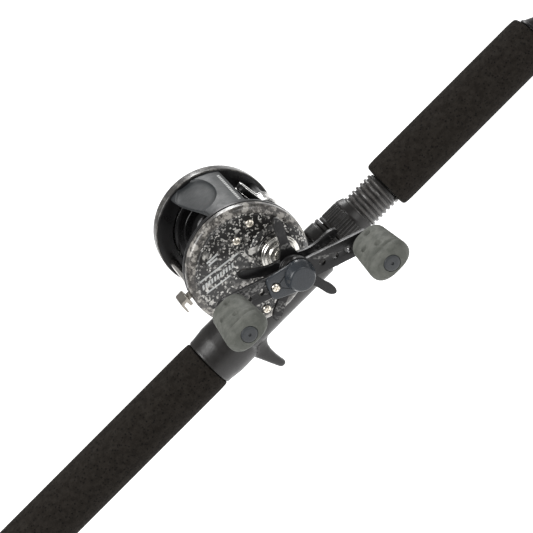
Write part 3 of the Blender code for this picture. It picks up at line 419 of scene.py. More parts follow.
# %% [markdown]
# ## Finishes
# A finish starts from one colour and roughness, then breaks both up: the mottle shifts the
# colour, worn edges and dust lie over it, and the grain moves the roughness and the surface
# height. The heights are in metres, so a texture stays at its real scale.

# %% A finish from its parts
def placed_group(tree, name, **values):
    node = tree.nodes.new("ShaderNodeGroup")
    node.node_tree = GROUPS[name]
    for label, value in values.items():
        node.inputs[label].default_value = value
    return node.outputs[0]


def mixed(tree, mask, first, second):
    """Blend two colours, each a tuple or a socket, by a mask."""
    node = tree.nodes.new("ShaderNodeMix")
    node.data_type = "RGBA"
    tree.links.new(mask, node.inputs["Factor"])
    for socket, value in ((node.inputs[6], first), (node.inputs[7], second)):
        if isinstance(value, tuple):
            socket.default_value = (*value, 1.0)
        else:
            tree.links.new(value, socket)
    return node.outputs[2]


def bump(tree, height, distance, shader, strength=1.0):
    node = tree.nodes.new("ShaderNodeBump")
    node.inputs["Distance"].default_value = distance
    node.inputs["Strength"].default_value = strength
    tree.links.new(height, node.inputs["Height"])
    tree.links.new(node.outputs["Normal"], shader.inputs["Normal"])
    return node


def blank_material(name, metallic=0.0):
    made = bpy.data.materials.new(name)
    made.use_nodes = True
    shader = made.node_tree.nodes["Principled BSDF"]
    shader.inputs["Metallic"].default_value = metallic
    return made, made.node_tree, shader


def layered(name, colour, roughness, metallic=0.0, shade=0.75, spread=0.06, grain=(3000.0, 0.00002),
            wear=(0.0, (0.5, 0.5, 0.5)), dust=0.06, coat=0.0):
    """Colour with a mottle, rubbed edges, a little dust and a grain in its surface."""
    made, tree, shader = blank_material(name, metallic)
    shader.inputs["Coat Weight"].default_value = coat
    deep = tuple(shade * c for c in colour)
    body = mixed(tree, placed_group(tree, "mottle", Size=140.0, Strength=1.0), deep, colour)
    if wear[0]:
        body = mixed(tree, placed_group(tree, "worn_edges", Amount=wear[0], Size=900.0), body,
                     wear[1])
    body = mixed(tree, placed_group(tree, "settled_dust", Amount=dust), body, (0.30, 0.28, 0.25))
    tree.links.new(body, shader.inputs["Base Color"])
    height = placed_group(tree, "fine_grain", Size=grain[0], Strength=1.0)
    uneven = noise_node(tree, 320.0, 5.0)
    rough = ramp_node(tree, uneven, 0.3, 0.7, roughness - spread, roughness + spread)
    tree.links.new(rough, shader.inputs["Roughness"])
    bump(tree, height, grain[1], shader)
    return made


RUBBED_PLASTIC = (0.16, 0.155, 0.15)
BARE_METAL = (0.55, 0.54, 0.52)
LOOKS = {
    "seat": layered("moulded_nylon", (0.013, 0.0114, 0.0104), 0.36, grain=(2600.0, 0.00004),
                    wear=(0.2, RUBBED_PLASTIC), dust=0.025),
    # The thread is the seat's own nylon, painted about five times as pale: a painted highlight along
    # its ridges.
    "thread": layered("nylon_painted_highlight", (0.070, 0.066, 0.062), 0.30, grain=(3600.0, 0.00003),
                      wear=(0.5, RUBBED_PLASTIC)),
    "slate": layered("slate_plastic", (0.017, 0.020, 0.022), 0.48, shade=0.86,
                     grain=(5200.0, 0.00002), dust=0.03),
    "nut_cover": layered("blue_grey_plastic", (0.030, 0.035, 0.042), 0.28, shade=0.8,
                         grain=(4200.0, 0.00002), dust=0.02),
    "black_metal": layered("black_anodised", (0.012, 0.0115, 0.012), 0.33, 0.35,
                           grain=(5200.0, 0.00001),
                           wear=(0.25, BARE_METAL), dust=0.015),
    "spool": layered("spool_anodised", (0.010, 0.0095, 0.010), 0.24, 0.5, grain=(6000.0, 0.000006),
                     dust=0.015),
    "steel": layered("machined_steel", (0.55, 0.54, 0.52), 0.30, 1.0, grain=(4000.0, 0.000006)),
    "brass": layered("cut_brass", (0.70, 0.50, 0.20), 0.30, 1.0, grain=(4000.0, 0.000006)),
    "ceramic": layered("ring_ceramic", (0.030, 0.031, 0.034), 0.12, shade=0.9, spread=0.03,
                       grain=(5000.0, 0.000002)),
    "knob_cap": layered("knob_cap", (0.036, 0.040, 0.044), 0.45, grain=(4200.0, 0.00002)),
    "print": layered("pale_print", (0.60, 0.61, 0.60), 0.5, shade=0.8, grain=(3000.0, 0.00001)),
    "rubber_cap": layered("butt_rubber", (0.018, 0.017, 0.016), 0.62, grain=(1800.0, 0.00006),
                          dust=0.12),
}
print("layered finishes:", len(LOOKS))

# %% [markdown]
# ## Foam, rubber and speckle
# Some finishes need their own pattern. Grip foam is a skin of closed cells with pinholes.
# The knobs are a soft-touch rubber with a cloudy bloom. The side covers are printed: square
# chips of grey at two sizes over black, denser towards the rim, under a clear coat.

# %% Grip foam
def voronoi(tree, scale, feature="F1", distance="EUCLIDEAN", vector=None, randomness=1.0):
    node = tree.nodes.new("ShaderNodeTexVoronoi")
    node.feature, node.distance = feature, distance
    node.inputs["Scale"].default_value = scale
    node.inputs["Randomness"].default_value = randomness
    tree.links.new(vector or tree.nodes.new("ShaderNodeTexCoord").outputs["Object"],
                   node.inputs["Vector"])
    return node


def make_foam():
    made, tree, shader = blank_material("grip_foam")
    shader.inputs["Specular IOR Level"].default_value = 0.12
    cells = voronoi(tree, 1500.0).outputs["Distance"]
    holes = ramp_node(tree, voronoi(tree, 620.0).outputs["Distance"], 0.12, 0.34)
    cloudy = placed_group(tree, "mottle", Size=420.0, Strength=1.0)
    tone = mixed(tree, cloudy, (0.0120, 0.0098, 0.0078), (0.0200, 0.0168, 0.0138))
    # The pinholes are painted near black, as painted shade in the holes on top of their bump.
    tone = mixed(tree, holes, (0.004, 0.0035, 0.003), tone)
    tree.links.new(mixed(tree, placed_group(tree, "settled_dust", Amount=0.05), tone,
                         (0.2, 0.19, 0.17)),
                   shader.inputs["Base Color"])
    tree.links.new(ramp_node(tree, cells, 0.0, 0.8, 0.82, 0.98), shader.inputs["Roughness"])
    relief = math_node(tree, "ADD", math_node(tree, "MULTIPLY", cells, 0.6),
                       math_node(tree, "MULTIPLY", holes, 0.6))
    relief = math_node(tree, "ADD", relief,
                       placed_group(tree, "fine_grain", Size=900.0, Strength=1.2))
    bump(tree, relief, 0.00022, shader)
    return made


LOOKS["foam"] = make_foam()
print("foam cells about", round(1000 / 1500.0, 2), "mm across")

# %% Knob rubber
def make_knob_rubber():
    made, tree, shader = blank_material("knob_rubber")
    shader.inputs["Specular IOR Level"].default_value = 0.3
    bloom = placed_group(tree, "mottle", Size=260.0, Strength=1.0)
    tone = mixed(tree, bloom, (0.088, 0.092, 0.080), (0.118, 0.122, 0.108))
    tone = mixed(tree, placed_group(tree, "worn_edges", Amount=0.25, Size=700.0), tone,
                 (0.20, 0.20, 0.18))
    tone = mixed(tree, placed_group(tree, "settled_dust", Amount=0.12), tone, (0.30, 0.29, 0.26))
    tree.links.new(tone, shader.inputs["Base Color"])
    tree.links.new(ramp_node(tree, noise_node(tree, 500.0, 5.0), 0.3, 0.7, 0.56, 0.74),
                   shader.inputs["Roughness"])
    pores = voronoi(tree, 2600.0).outputs["Distance"]
    relief = math_node(tree, "ADD", pores,
                       placed_group(tree, "fine_grain", Size=2400.0, Strength=0.8))
    bump(tree, relief, 0.00005, shader)
    return made


LOOKS["knob"] = make_knob_rubber()
print("knob rubber ready")

# %% Printed speckle for the side covers
def chips(tree, scale, share, vector):
    """Square chips: cells of a square-distance Voronoi whose random value is under share."""
    cell = voronoi(tree, scale, distance="CHEBYCHEV", vector=vector, randomness=0.9)
    pick = tree.nodes.new("ShaderNodeSeparateColor")
    tree.links.new(cell.outputs["Color"], pick.inputs[0])
    return math_node(tree, "LESS_THAN", pick.outputs[0], share), pick.outputs[1]


def make_speckle(name, chip, share, rim_start, rim_gain=1.0):
    """chip is the larger chips' scale; the camouflage band begins at rim_start of the side plate's
    radius and is rim_gain times as pale."""
    made, tree, shader = blank_material(name, 0.1)
    shader.inputs["Coat Weight"].default_value = 0.5
    shader.inputs["Coat Roughness"].default_value = 0.12
    place = tree.nodes.new("ShaderNodeTexCoord").outputs["Object"]
    shift = tree.nodes.new("ShaderNodeMapping")
    shift.inputs["Location"].default_value = (-REEL[0] * MM, 0.0, -REEL[1] * MM)
    tree.links.new(place, shift.inputs["Vector"])
    spot = shift.outputs["Vector"]
    parts = tree.nodes.new("ShaderNodeSeparateXYZ")
    tree.links.new(spot, parts.inputs[0])
    reach = math_node(tree, "SQRT", math_node(tree, "ADD",
                                              math_node(tree, "POWER", parts.outputs["X"], 2.0),
                                              math_node(tree, "POWER", parts.outputs["Z"], 2.0)))
    rim = ramp_node(tree, reach, rim_start * SIDE_R * MM, (rim_start + 0.03) * SIDE_R * MM)
    drift = ramp_node(tree, noise_node(tree, 110.0, 3.0, 0.5, spot), 0.47, 0.66)
    large, tint = chips(tree, chip, share, spot)
    small, tint_small = chips(tree, 1350.0, 0.20, spot)
    smears = ramp_node(tree, noise_node(tree, 260.0, 8.0, 0.68, spot), 0.50, 0.57)
    patch = math_node(tree, "MULTIPLY", large, drift)
    mark = math_node(tree, "MAXIMUM", patch, small)
    grey = mixed(tree, tint, (0.10, 0.095, 0.088), (0.72, 0.70, 0.66))
    face = mixed(tree, mark, (0.0070, 0.0062, 0.0056), grey)
    pale, paler = [tuple(rim_gain * c for c in tone) for tone in ((0.115, 0.105, 0.095),
            (0.36, 0.34, 0.31))]
    rim_tone = mixed(tree, tint_small, (0.022, 0.020, 0.018), pale)
    rim_tone = mixed(tree, smears, rim_tone, paler)
    tone = mixed(tree, rim, face, rim_tone)
    tone = mixed(tree, placed_group(tree, "worn_edges", Amount=0.2, Size=900.0), tone,
                 (0.35, 0.34, 0.33))
    tree.links.new(tone, shader.inputs["Base Color"])
    tree.links.new(ramp_node(tree, noise_node(tree, 400.0, 4.0), 0.3, 0.7, 0.30, 0.44),
                   shader.inputs["Roughness"])
    bump(tree, placed_group(tree, "fine_grain", Size=3200.0, Strength=1.0), 0.00001, shader)
    return made


LOOKS["speckle"] = make_speckle("speckled_cover", 620.0, 0.30, 0.86, 0.95)
# The palm cover carries the same print; its camouflage band is painted 0.35 times as pale, as painted
# shade on the far side of the reel.
LOOKS["palm_speckle"] = make_speckle("speckled_palm_cover", 620.0, 0.32, 0.84, 0.35)
LOOKS["shards"] = make_speckle("sharded_housing", 300.0, 0.34, 2.0)
print("speckle centred on the spool axis")

# %% [markdown]
# ## Bright metal, graphite and thread
# Turned metal is never a plain mirror: the tool leaves fine rings round the axis. The rings
# come from the distance to that axis, so each turned piece gets its own copy of the finish.
# The blank shows its graphite weave under a clear coat, and the guides are bound on with thread.

# %% Turned bright metal
def make_turned_metal(name, centre, colour=(0.80, 0.78, 0.73), roughness=0.20, pitch=5200.0):
    made, tree, shader = blank_material(name, 1.0)
    parts = tree.nodes.new("ShaderNodeSeparateXYZ")
    shift = tree.nodes.new("ShaderNodeMapping")
    shift.inputs["Location"].default_value = (-centre[0] * MM, 0.0, -centre[1] * MM)
    tree.links.new(tree.nodes.new("ShaderNodeTexCoord").outputs["Object"], shift.inputs["Vector"])
    tree.links.new(shift.outputs["Vector"], parts.inputs[0])
    reach = math_node(tree, "SQRT", math_node(tree, "ADD",
                                              math_node(tree, "POWER", parts.outputs["X"], 2.0),
                                              math_node(tree, "POWER", parts.outputs["Z"], 2.0)))
    both = tree.nodes.new("ShaderNodeCombineXYZ")
    tree.links.new(reach, both.inputs[0])
    tree.links.new(parts.outputs["Y"], both.inputs[1])
    rings = noise_node(tree, pitch, 3.0, 0.7, both.outputs[0])
    smudge = placed_group(tree, "mottle", Size=300.0, Strength=1.0)
    tree.links.new(mixed(tree, smudge, tuple(0.88 * c for c in colour), colour),
                   shader.inputs["Base Color"])
    tree.links.new(ramp_node(tree, rings, 0.3, 0.7, roughness - 0.08, roughness + 0.12),
                   shader.inputs["Roughness"])
    bump(tree, rings, 0.000008, shader)
    return made


LOOKS["cap_metal"] = make_turned_metal("turned_cap", CRANK)
LOOKS["screw_metal"] = make_turned_metal("screw_metal", REEL, (0.86, 0.80, 0.70), 0.24)
LOOKS["bar_metal"] = make_turned_metal("polished_bar", REEL, (0.82, 0.79, 0.74), 0.14)
LOOKS["release_metal"] = layered("release_metal", (0.34, 0.315, 0.28), 0.34, 0.9, shade=0.5,
                                 grain=(2400.0, 0.00003))
LOOKS["guide_metal"] = make_turned_metal("line_guide_metal", WORM, (0.80, 0.79, 0.77), 0.16)
print("turned metals ready")

# %% Graphite blank and binding thread
def make_graphite():
    made, tree, shader = blank_material("graphite_blank", 0.2)
    shader.inputs["Coat Weight"].default_value = 0.9
    shader.inputs["Coat Roughness"].default_value = 0.05
    place = tree.nodes.new("ShaderNodeTexCoord").outputs["Object"]
    parts = tree.nodes.new("ShaderNodeSeparateXYZ")
    tree.links.new(place, parts.inputs[0])
    turn = math_node(tree, "ARCTAN2", parts.outputs["Z"], parts.outputs["Y"])
    bands = []
    for sense in (1.0, -1.0):
        slope = math_node(tree, "ADD", math_node(tree, "MULTIPLY", parts.outputs["X"],
                                                 3200.0 * sense),
                          math_node(tree, "MULTIPLY", turn, 6.0))
        bands.append(math_node(tree, "SINE", slope))
    weave = ramp_node(tree, math_node(tree, "MULTIPLY", bands[0], bands[1]), -0.5, 0.5)
    tree.links.new(mixed(tree, weave, (0.006, 0.006, 0.007), (0.022, 0.022, 0.024)),
                   shader.inputs["Base Color"])
    tree.links.new(ramp_node(tree, weave, 0.0, 1.0, 0.28, 0.42), shader.inputs["Roughness"])
    bump(tree, weave, 0.000015, shader)
    return made


def make_thread_finish():
    made, tree, shader = blank_material("binding_thread")
    shader.inputs["Coat Weight"].default_value = 0.8
    shader.inputs["Coat Roughness"].default_value = 0.08
    fibres = noise_node(tree, 2600.0, 4.0, 0.7)
    tree.links.new(mixed(tree, fibres, (0.008, 0.008, 0.009), (0.030, 0.030, 0.033)),
                   shader.inputs["Base Color"])
    tree.links.new(ramp_node(tree, fibres, 0.3, 0.7, 0.3, 0.5), shader.inputs["Roughness"])
    bump(tree, fibres, 0.00002, shader)
    return made


LOOKS["graphite"] = make_graphite()
LOOKS["binding"] = make_thread_finish()
print("finishes in all:", len(LOOKS))

# %% [markdown]
# ## Geometry Nodes for what repeats
# Three trees do the repeating work. One sweeps a round strand along a helix, for the seat's
# thread, the worm and the bindings. One stands copies of a small piece round a circle, for
# ribs and knurls. One sweeps a circle along a line whose radius follows a taper,
# which is the blank itself. Sizes are named inputs, and each result becomes a plain mesh.

# %% Tree helpers
class NodeTree:
    """A geometry node tree under construction."""

    def __init__(self, name, inputs):
        self.tree = bpy.data.node_groups.new(name, "GeometryNodeTree")
        self.tree.interface.new_socket("Geometry", in_out="INPUT", socket_type="NodeSocketGeometry")
        for label, kind, value in inputs:
            socket = self.tree.interface.new_socket(label, in_out="INPUT",
                                                    socket_type="NodeSocket" + kind)
            if value is not None:
                socket.default_value = value
        self.tree.interface.new_socket("Geometry", in_out="OUTPUT",
                                       socket_type="NodeSocketGeometry")
        self.given = self.tree.nodes.new("NodeGroupInput")
        self.out = self.tree.nodes.new("NodeGroupOutput")

    def put(self, kind, settings=None, **links):
        """Add a node; links maps a socket's name or index to a value or an output socket."""
        node = self.tree.nodes.new(kind)
        for label, value in (settings or {}).items():
            setattr(node, label, value)
        for label, value in links.items():
            key = int(label[1:]) if label[0] == "i" and label[1:].isdigit() else label.replace("_",
                    " ")
            self.join(value, node.inputs[key])
        return node

    def join(self, value, socket):
        if hasattr(value, "is_output"):
            self.tree.links.new(value, socket)
        else:
            socket.default_value = value

    def sum(self, operation, first, second=0.0):
        return self.put("ShaderNodeMath", {"operation": operation}, i0=first, i1=second).outputs[0]

    def end(self, geometry):
        real = self.put("GeometryNodeRealizeInstances", Geometry=geometry)
        painted = self.put("GeometryNodeSetMaterial", Geometry=real.outputs[0],
                           Material=self.given.outputs["Material"])
        self.tree.links.new(painted.outputs[0], self.out.inputs[0])
        return self.tree


def grow(name, tree, **inputs):
    """Run a tree on an empty mesh with the given inputs and keep the plain mesh."""
    obj = bpy.data.objects.new(name, bpy.data.meshes.new(name))
    scene.collection.objects.link(obj)
    step = obj.modifiers.new(tree.name, "NODES")
    step.node_group = tree
    sockets = {s.name: s.identifier for s in tree.interface.items_tree if s.in_out == "INPUT"}
    for label, value in inputs.items():
        step[sockets[label.replace("_", " ")]] = value
    return flatten(obj)


print("tree helpers ready")

# %% A strand wound round the rod's direction
def make_winding_tree():
    t = NodeTree("winding", [("Start Radius", "Float", 0.009), ("End Radius", "Float", 0.009),
                             ("Length", "Float", 0.01), ("Turns", "Float", 8.0),
                             ("Strand", "Float", 0.0005),
                             ("Steps", "Int", 32), ("Sides", "Int", 6),
                             ("Material", "Material", None)])
    g = t.given.outputs
    spiral = t.put("GeometryNodeCurveSpiral", Resolution=g["Steps"], Rotations=g["Turns"],
                   Start_Radius=g["Start Radius"], End_Radius=g["End Radius"], Height=g["Length"])
    section = t.put("GeometryNodeCurvePrimitiveCircle", Resolution=g["Sides"], Radius=g["Strand"])
    strand = t.put("GeometryNodeCurveToMesh", Curve=spiral.outputs[0],
                   Profile_Curve=section.outputs[0],
                   Fill_Caps=True)
    laid = t.put("GeometryNodeTransform", Geometry=strand.outputs[0],
                 Rotation=(0.0, math.pi / 2, 0.0))
    return t.end(laid.outputs[0])


WINDING = make_winding_tree()
print("winding tree has", len(WINDING.nodes), "nodes")

# %% Copies round a circle
def make_circle_tree():
    t = NodeTree("copies_round_axis", [("Piece", "Object", None), ("Count", "Int", 12),
                                       ("Radius", "Float", 0.01),
                                       ("First Angle", "Float", 0.0),
                                       ("Material", "Material", None)])
    g = t.given.outputs
    line = t.put("GeometryNodeMeshLine", Count=g["Count"])
    index = t.put("GeometryNodeInputIndex").outputs[0]
    step = t.sum("DIVIDE", 2 * math.pi, g["Count"])
    turn = t.sum("ADD", t.sum("MULTIPLY", index, step), g["First Angle"])
    across = t.sum("MULTIPLY", t.sum("COSINE", turn), g["Radius"])
    up = t.sum("MULTIPLY", t.sum("SINE", turn), g["Radius"])
    place = t.put("ShaderNodeCombineXYZ", X=0.0, Y=across, Z=up)
    points = t.put("GeometryNodeSetPosition", Geometry=line.outputs[0], Position=place.outputs[0])
    angle = t.put("ShaderNodeCombineXYZ", X=turn, Y=0.0, Z=0.0)
    piece = t.put("GeometryNodeObjectInfo", Object=g["Piece"])
    copies = t.put("GeometryNodeInstanceOnPoints", Points=points.outputs[0],
                   Instance=piece.outputs["Geometry"],
                   Rotation=angle.outputs[0])
    return t.end(copies.outputs[0])


CIRCLE = make_circle_tree()
print("circle tree has", len(CIRCLE.nodes), "nodes")

# %% The tapered blank
def make_taper_tree():
    t = NodeTree("tapered_blank", [("Start", "Float", 0.0), ("End", "Float", 1.5),
                                   ("Thick Radius", "Float", 0.006),
                                   ("Thin Radius", "Float", 0.001), ("Power", "Float", 0.85),
                                   ("Steps", "Int", 80), ("Material", "Material", None)])
    g = t.given.outputs
    first = t.put("ShaderNodeCombineXYZ", X=g["Start"], Y=0.0, Z=0.0)
    last = t.put("ShaderNodeCombineXYZ", X=g["End"], Y=0.0, Z=0.0)
    line = t.put("GeometryNodeCurvePrimitiveLine", Start=first.outputs[0], End=last.outputs[0])
    fine = t.put("GeometryNodeResampleCurve", Curve=line.outputs[0], Count=g["Steps"])
    share = t.put("GeometryNodeSplineParameter").outputs["Factor"]
    fall = t.sum("POWER", share, g["Power"])
    change = t.sum("SUBTRACT", g["Thin Radius"], g["Thick Radius"])
    radius = t.sum("ADD", g["Thick Radius"], t.sum("MULTIPLY", fall, change))
    section = t.put("GeometryNodeCurvePrimitiveCircle", Resolution=48, Radius=1.0)
    swept = t.put("GeometryNodeCurveToMesh", Curve=fine.outputs[0],
                  Profile_Curve=section.outputs[0], Fill_Caps=True)
    if "Scale" in swept.inputs:
        t.join(radius, swept.inputs["Scale"])
    else:
        sized = t.put("GeometryNodeSetCurveRadius", Curve=fine.outputs[0], Radius=radius)
        t.join(sized.outputs[0], swept.inputs["Curve"])
    return t.end(swept.outputs[0])


TAPER = make_taper_tree()
print("taper tree has", len(TAPER.nodes), "nodes")

# %% [markdown]
# ## Blank and grips
# The blank tapers slowly under the grips and faster beyond them, so it is two sweeps of the
# same tree. The grips are foam sleeves with softly rounded ends. Foam gives under a clamp,
# so each end dips a little where it meets the hard seat or cap.

# %% Blank
TIP = cad_box[1].x / MM
FORE_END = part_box("fore_grip")[1].x / MM
BLANK_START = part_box("rod_blank")[0].x / MM
BLANK_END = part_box("rod_blank")[1].x / MM
BUTT_R, MID_R, TIP_R = 6.2, 5.4, 1.05


def blank_radius(x):
    """Radius of the blank beyond the fore grip, in millimetres."""
    share = max(0.0, (x - FORE_END) / (TIP - FORE_END))
    return MID_R + (TIP_R - MID_R) * share ** 0.85


lower = grow("blank_lower", TAPER, Start=BLANK_START * MM, End=FORE_END * MM,
             Thick_Radius=BUTT_R * MM,
             Thin_Radius=MID_R * MM, Power=1.0, Steps=12, Material=LOOKS["graphite"])
upper = grow("blank_upper", TAPER, Start=FORE_END * MM, End=BLANK_END * MM, Thick_Radius=MID_R * MM,
             Thin_Radius=blank_radius(BLANK_END) * MM, Power=0.85, Steps=90,
             Material=LOOKS["graphite"])
blank = merge("blank_tube", [lower, upper])
settle(blank, "rod", LOOKS["graphite"], ["rod_blank"])

# %% Foam grips
def make_grip(name, node, edge):
    low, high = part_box(node)
    start, end, radius = low.x / MM, high.x / MM, (high.z - low.z) / 2 / MM
    bore = BUTT_R + 0.1
    corners = [(start, bore), (start, radius - 0.3, edge), (start + 4.0, radius, 2.0)]
    corners += [(end - 4.0, radius, 2.0), (end, radius - 0.3, edge), (end, bore)]
    grip = turned(name, corners, "X", (0, 0), 128, 6)
    settle(grip, "rod", LOOKS["foam"], [node])
    return grip


make_grip("rear_foam", "rear_grip", 1.0)
make_grip("fore_foam", "fore_grip", 2.6)

# %% [markdown]
# ## Butt cap
# The cap is moulded rubber: a round-edged cup with shallow ribs so that it grips the ground or
# a holder. The ribs are one small rounded bar stood round the axis by the circle tree.

# %% Ribbed butt cap
def rib(name, length, width, height, at):
    """A rounded bar along X, standing out along Y, to be copied round the X axis."""
    half = 0.5 * length
    sections = []
    for share in (-1.0, -0.94, -0.8, 0.8, 0.94, 1.0):
        swell = math.sqrt(max(0.0, 1 - max(0.0, (abs(share) - 0.8) / 0.2) ** 2)) * 0.9 + 0.1
        sections.append([(at + half * share, swell * height * math.cos(t),
                          swell * 0.5 * width * math.sin(t))
                         for t in [2 * math.pi * i / 10 for i in range(10)]])
    return lofted(name, sections)


def copies_round(name, piece, count, radius, look, first=0.0):
    ring = grow(name, CIRCLE, Piece=piece, Count=count, Radius=radius * MM, First_Angle=first,
                Material=look)
    bpy.data.objects.remove(piece)
    return ring


def make_butt_cap():
    low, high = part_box("butt_cap")
    end, radius = high.x / MM, (high.z - low.z) / 2 / MM
    body = [(0, 0), (0, radius - 3.0, 1.5), (0.6, radius - 1.6, 1.0), (2.6, radius, 1.2),
            (end - 3.0, radius, 1.4),
            (end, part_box("rear_grip")[1].z / MM, 0.6), (end, BUTT_R), (14.0, BUTT_R), (14.0, 0)]
    ribs = copies_round("cap_ribs", rib("cap_rib", 11.0, 1.6, 0.45, 10.5), 36, radius - 0.05,
                        LOOKS["rubber_cap"])
    rings = [turned("cap_ring", [(-0.25, 2.4 * k), (-0.25, 2.4 * k + 0.9), (0.3, 2.4 * k + 0.9),
                                 (0.3, 2.4 * k)],
                    "X", (0, 0), 64) for k in (1, 2, 3, 4)]
    cap = merge("ribbed_butt_cap", [turned("cap_body", body, "X", (0, 0), 128), ribs] + rings)
    return settle(cap, "rod", LOOKS["rubber_cap"], ["butt_cap"])


make_butt_cap()

# %% [markdown]
# ## Reel seat
# The seat is one moulding: a flared rear that meets the grip, a hood over the end of the
# reel foot, a flat saddle, the finger trigger and the threaded barrel. A mould leaves every
# inner corner rounded. So the body and trigger are lofted apart, fused by a voxel remesh
# and relaxed, which rounds their joint the way the plastic flows there.

# %% Seat body and trigger
SEAT_LOW, SEAT_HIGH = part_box("reel_seat")
SEAT_REAR, SEAT_FRONT = SEAT_LOW.x / MM, SEAT_HIGH.x / MM
SADDLE_Z = 7.0
BARREL_R, CREST_R, THREAD_PITCH = 8.0, 8.95, 2.45


def rounded(value, power=0.75):
    """Swell a circle's coordinate towards a rounded square."""
    return math.copysign(abs(value) ** power, value)


def seat_section(x, radius, flat=99.0):
    return [(REEL[0] + x, radius * math.cos(t), min(radius * math.sin(t), flat))
            for t in [2 * math.pi * i / 96 for i in range(96)]]


def make_seat_body():
    rear = SEAT_REAR - REEL[0]
    stations = [(rear, 12.2), (rear + 0.4, 12.45), (rear + 2.2, 12.45), (rear + 5.0, 12.75),
                (-37.5, 13.2),
                (-29.0, 13.1), (-27.0, 12.7), (-26.0, 11.9), (-25.9, 10.9, SADDLE_Z),
                (-20, 10.6, SADDLE_Z),
                (-8, 10.4, SADDLE_Z), (10, 10.5, SADDLE_Z), (23.8, 10.5, SADDLE_Z),
                (24.5, 10.2, SADDLE_Z),
                (25, BARREL_R, SADDLE_Z), (36, BARREL_R, SADDLE_Z), (36.1, BARREL_R),
                (SEAT_FRONT - REEL[0] - 0.4, BARREL_R), (SEAT_FRONT - REEL[0], BARREL_R - 0.3)]
    return lofted("seat_body", [seat_section(*s) for s in stations])


def make_trigger():
    heights = [(-7.5, -37.5, -12.0, 5.0), (-10.4, -33.8, -16.8, 4.4), (-12.2, -31.4, -19.4, 3.7),
               (-14.5, -30.0, -21.0, 3.2), (-18.0, -28.7, -21.8, 3.0), (-22.0, -27.3, -21.9, 2.9),
               (-25.6, -26.0, -21.6, 2.7), (-27.8, -25.2, -21.3, 2.4), (-28.7, -24.6, -21.7, 1.8),
               (-29.0, -23.9, -22.4, 0.9)]
    sections = []
    for z, rear, front, half in heights:
        centre, reach = 0.5 * (rear + front), 0.5 * (front - rear)
        sections.append([(REEL[0] + centre + reach * rounded(math.cos(t), 0.8),
                          half * rounded(math.sin(t), 0.8), z)
                         for t in [2 * math.pi * i / 32 for i in range(32)]])
    return lofted("trigger", sections)


def make_seat():
    seat = merge("moulded_seat", [make_seat_body(), make_trigger()])
    fuse = seat.modifiers.new("fuse", "REMESH")
    fuse.mode, fuse.voxel_size = "VOXEL", 0.5 * MM
    relax = seat.modifiers.new("relax", "SMOOTH")
    relax.factor, relax.iterations = 0.5, 5
    flatten(seat)
    pocket = plate("pocket", [[(-5.6, 6.7), (5.6, 6.7), (5.6, 9.7), (-5.6, 9.7)]], REEL[0] - 34.9,
                   REEL[0] - 24, "X", 0)
    carve(seat, pocket)
    return settle(seat, "rod", LOOKS["seat"], ["reel_seat"], 50)


make_seat()

# %% Thread on the barrel
def make_barrel_thread():
    """An eight-sided strand gives each ridge a flat crest and sloping flanks."""
    start = REEL[0] + 37.0
    length = SEAT_FRONT - 0.6 - start
    strand = 0.82
    thread = grow("barrel_thread", WINDING, Start_Radius=(CREST_R - 0.92 * strand) * MM,
                  End_Radius=(CREST_R - 0.92 * strand) * MM, Length=length * MM,
                  Turns=length / THREAD_PITCH,
                  Strand=strand * MM, Steps=96, Sides=8, Material=LOOKS["thread"])
    thread.data.transform(Matrix.Translation((start * MM, 0, 0)))
    return settle(thread, "rod", LOOKS["thread"], sharp=30)


make_barrel_thread()

# %% [markdown]
# ## Sliding hood and lock nut
# The hood grips the front of the reel foot, and turning the nut drives it home. The hood is a
# plain turned ring with a pocket for the foot. The nut has a smooth collar at each end
# and ribs between them for the fingers, again copied round the axis.

# %% Hood and nut
def make_hood():
    """Higher over the foot than under the rod, so its axis lies above the rod's."""
    low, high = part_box("sliding_hood")
    start, end = low.x / MM, high.x / MM
    radius, rise = (high.z - low.z) / 2 / MM, (high.z + low.z) / 2 / MM
    corners = [(start, 0), (start, radius - 0.5, 0.6), (start + 1.2, radius, 0.6),
               (end - 3.0, radius - 0.15, 0.4),
               (end - 2.6, radius - 0.75, 0.2), (end - 1.9, radius - 0.75, 0.2),
               (end - 1.7, radius - 0.3, 0.2),
               (end - 0.3, radius - 0.4, 0.3), (end, radius - 0.8, 0.2), (end, 0)]
    hood = turned("foot_hood", corners, "X", (0, rise), 128)
    bore = [(start - 1, 0), (start - 1, CREST_R + 0.25), (end + 1, CREST_R + 0.25), (end + 1, 0)]
    carve(hood, turned("bore", bore, "X", (0, 0), 96))
    pocket = plate("pocket", [[(-5.6, 6.7), (5.6, 6.7), (5.6, 9.7), (-5.6, 9.7)]], start - 1,
                   REEL[0] + 34.9, "X", 0)
    carve(hood, pocket)
    return settle(hood, "hood", LOOKS["seat"], ["sliding_hood"], 35)


def make_nut():
    low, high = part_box("lock_nut")
    start, end, radius = low.x / MM, high.x / MM, (high.z - low.z) / 2 / MM
    bore = CREST_R + 0.25
    corners = [(start, bore), (start, radius - 0.3, 0.3), (start + 0.4, radius, 0.2),
               (start + 1.5, radius, 0.2),
               (start + 1.7, radius - 0.25, 0.1), (end - 4.1, radius - 0.25, 0.1),
               (end - 3.9, radius, 0.15),
               (end - 3.1, radius, 0.3), (end - 0.3, radius - 1.0, 0.3), (end, radius - 1.2, 0.2),
               (end, bore)]
    body = turned("nut_body", corners, "X", (0, 0), 160)
    length = end - start - 5.8
    piece = rib("nut_rib", length, 0.95, 0.36, start + 1.7 + 0.5 * length)
    ribs = copies_round("nut_ribs", piece, 44, radius - 0.32, LOOKS["seat"])
    return settle(merge("ribbed_nut", [body, ribs]), "nut", LOOKS["seat"], ["lock_nut"],
                  40)


make_hood()
make_nut()

# %% [markdown]
# ## Line guides
# Each guide is a pressed wire frame with a ceramic ring, bound to the blank over its feet. The
# winding tree lays the thread turn by turn, and a few lines of mesh code then lift the turns
# that pass over the foot, as real thread does.

# %% Guide frames and rings
GUIDE_NODES = [n for n in sorted(frame["nodes"]) if n.startswith("guide_") and n[6:].isdigit()]


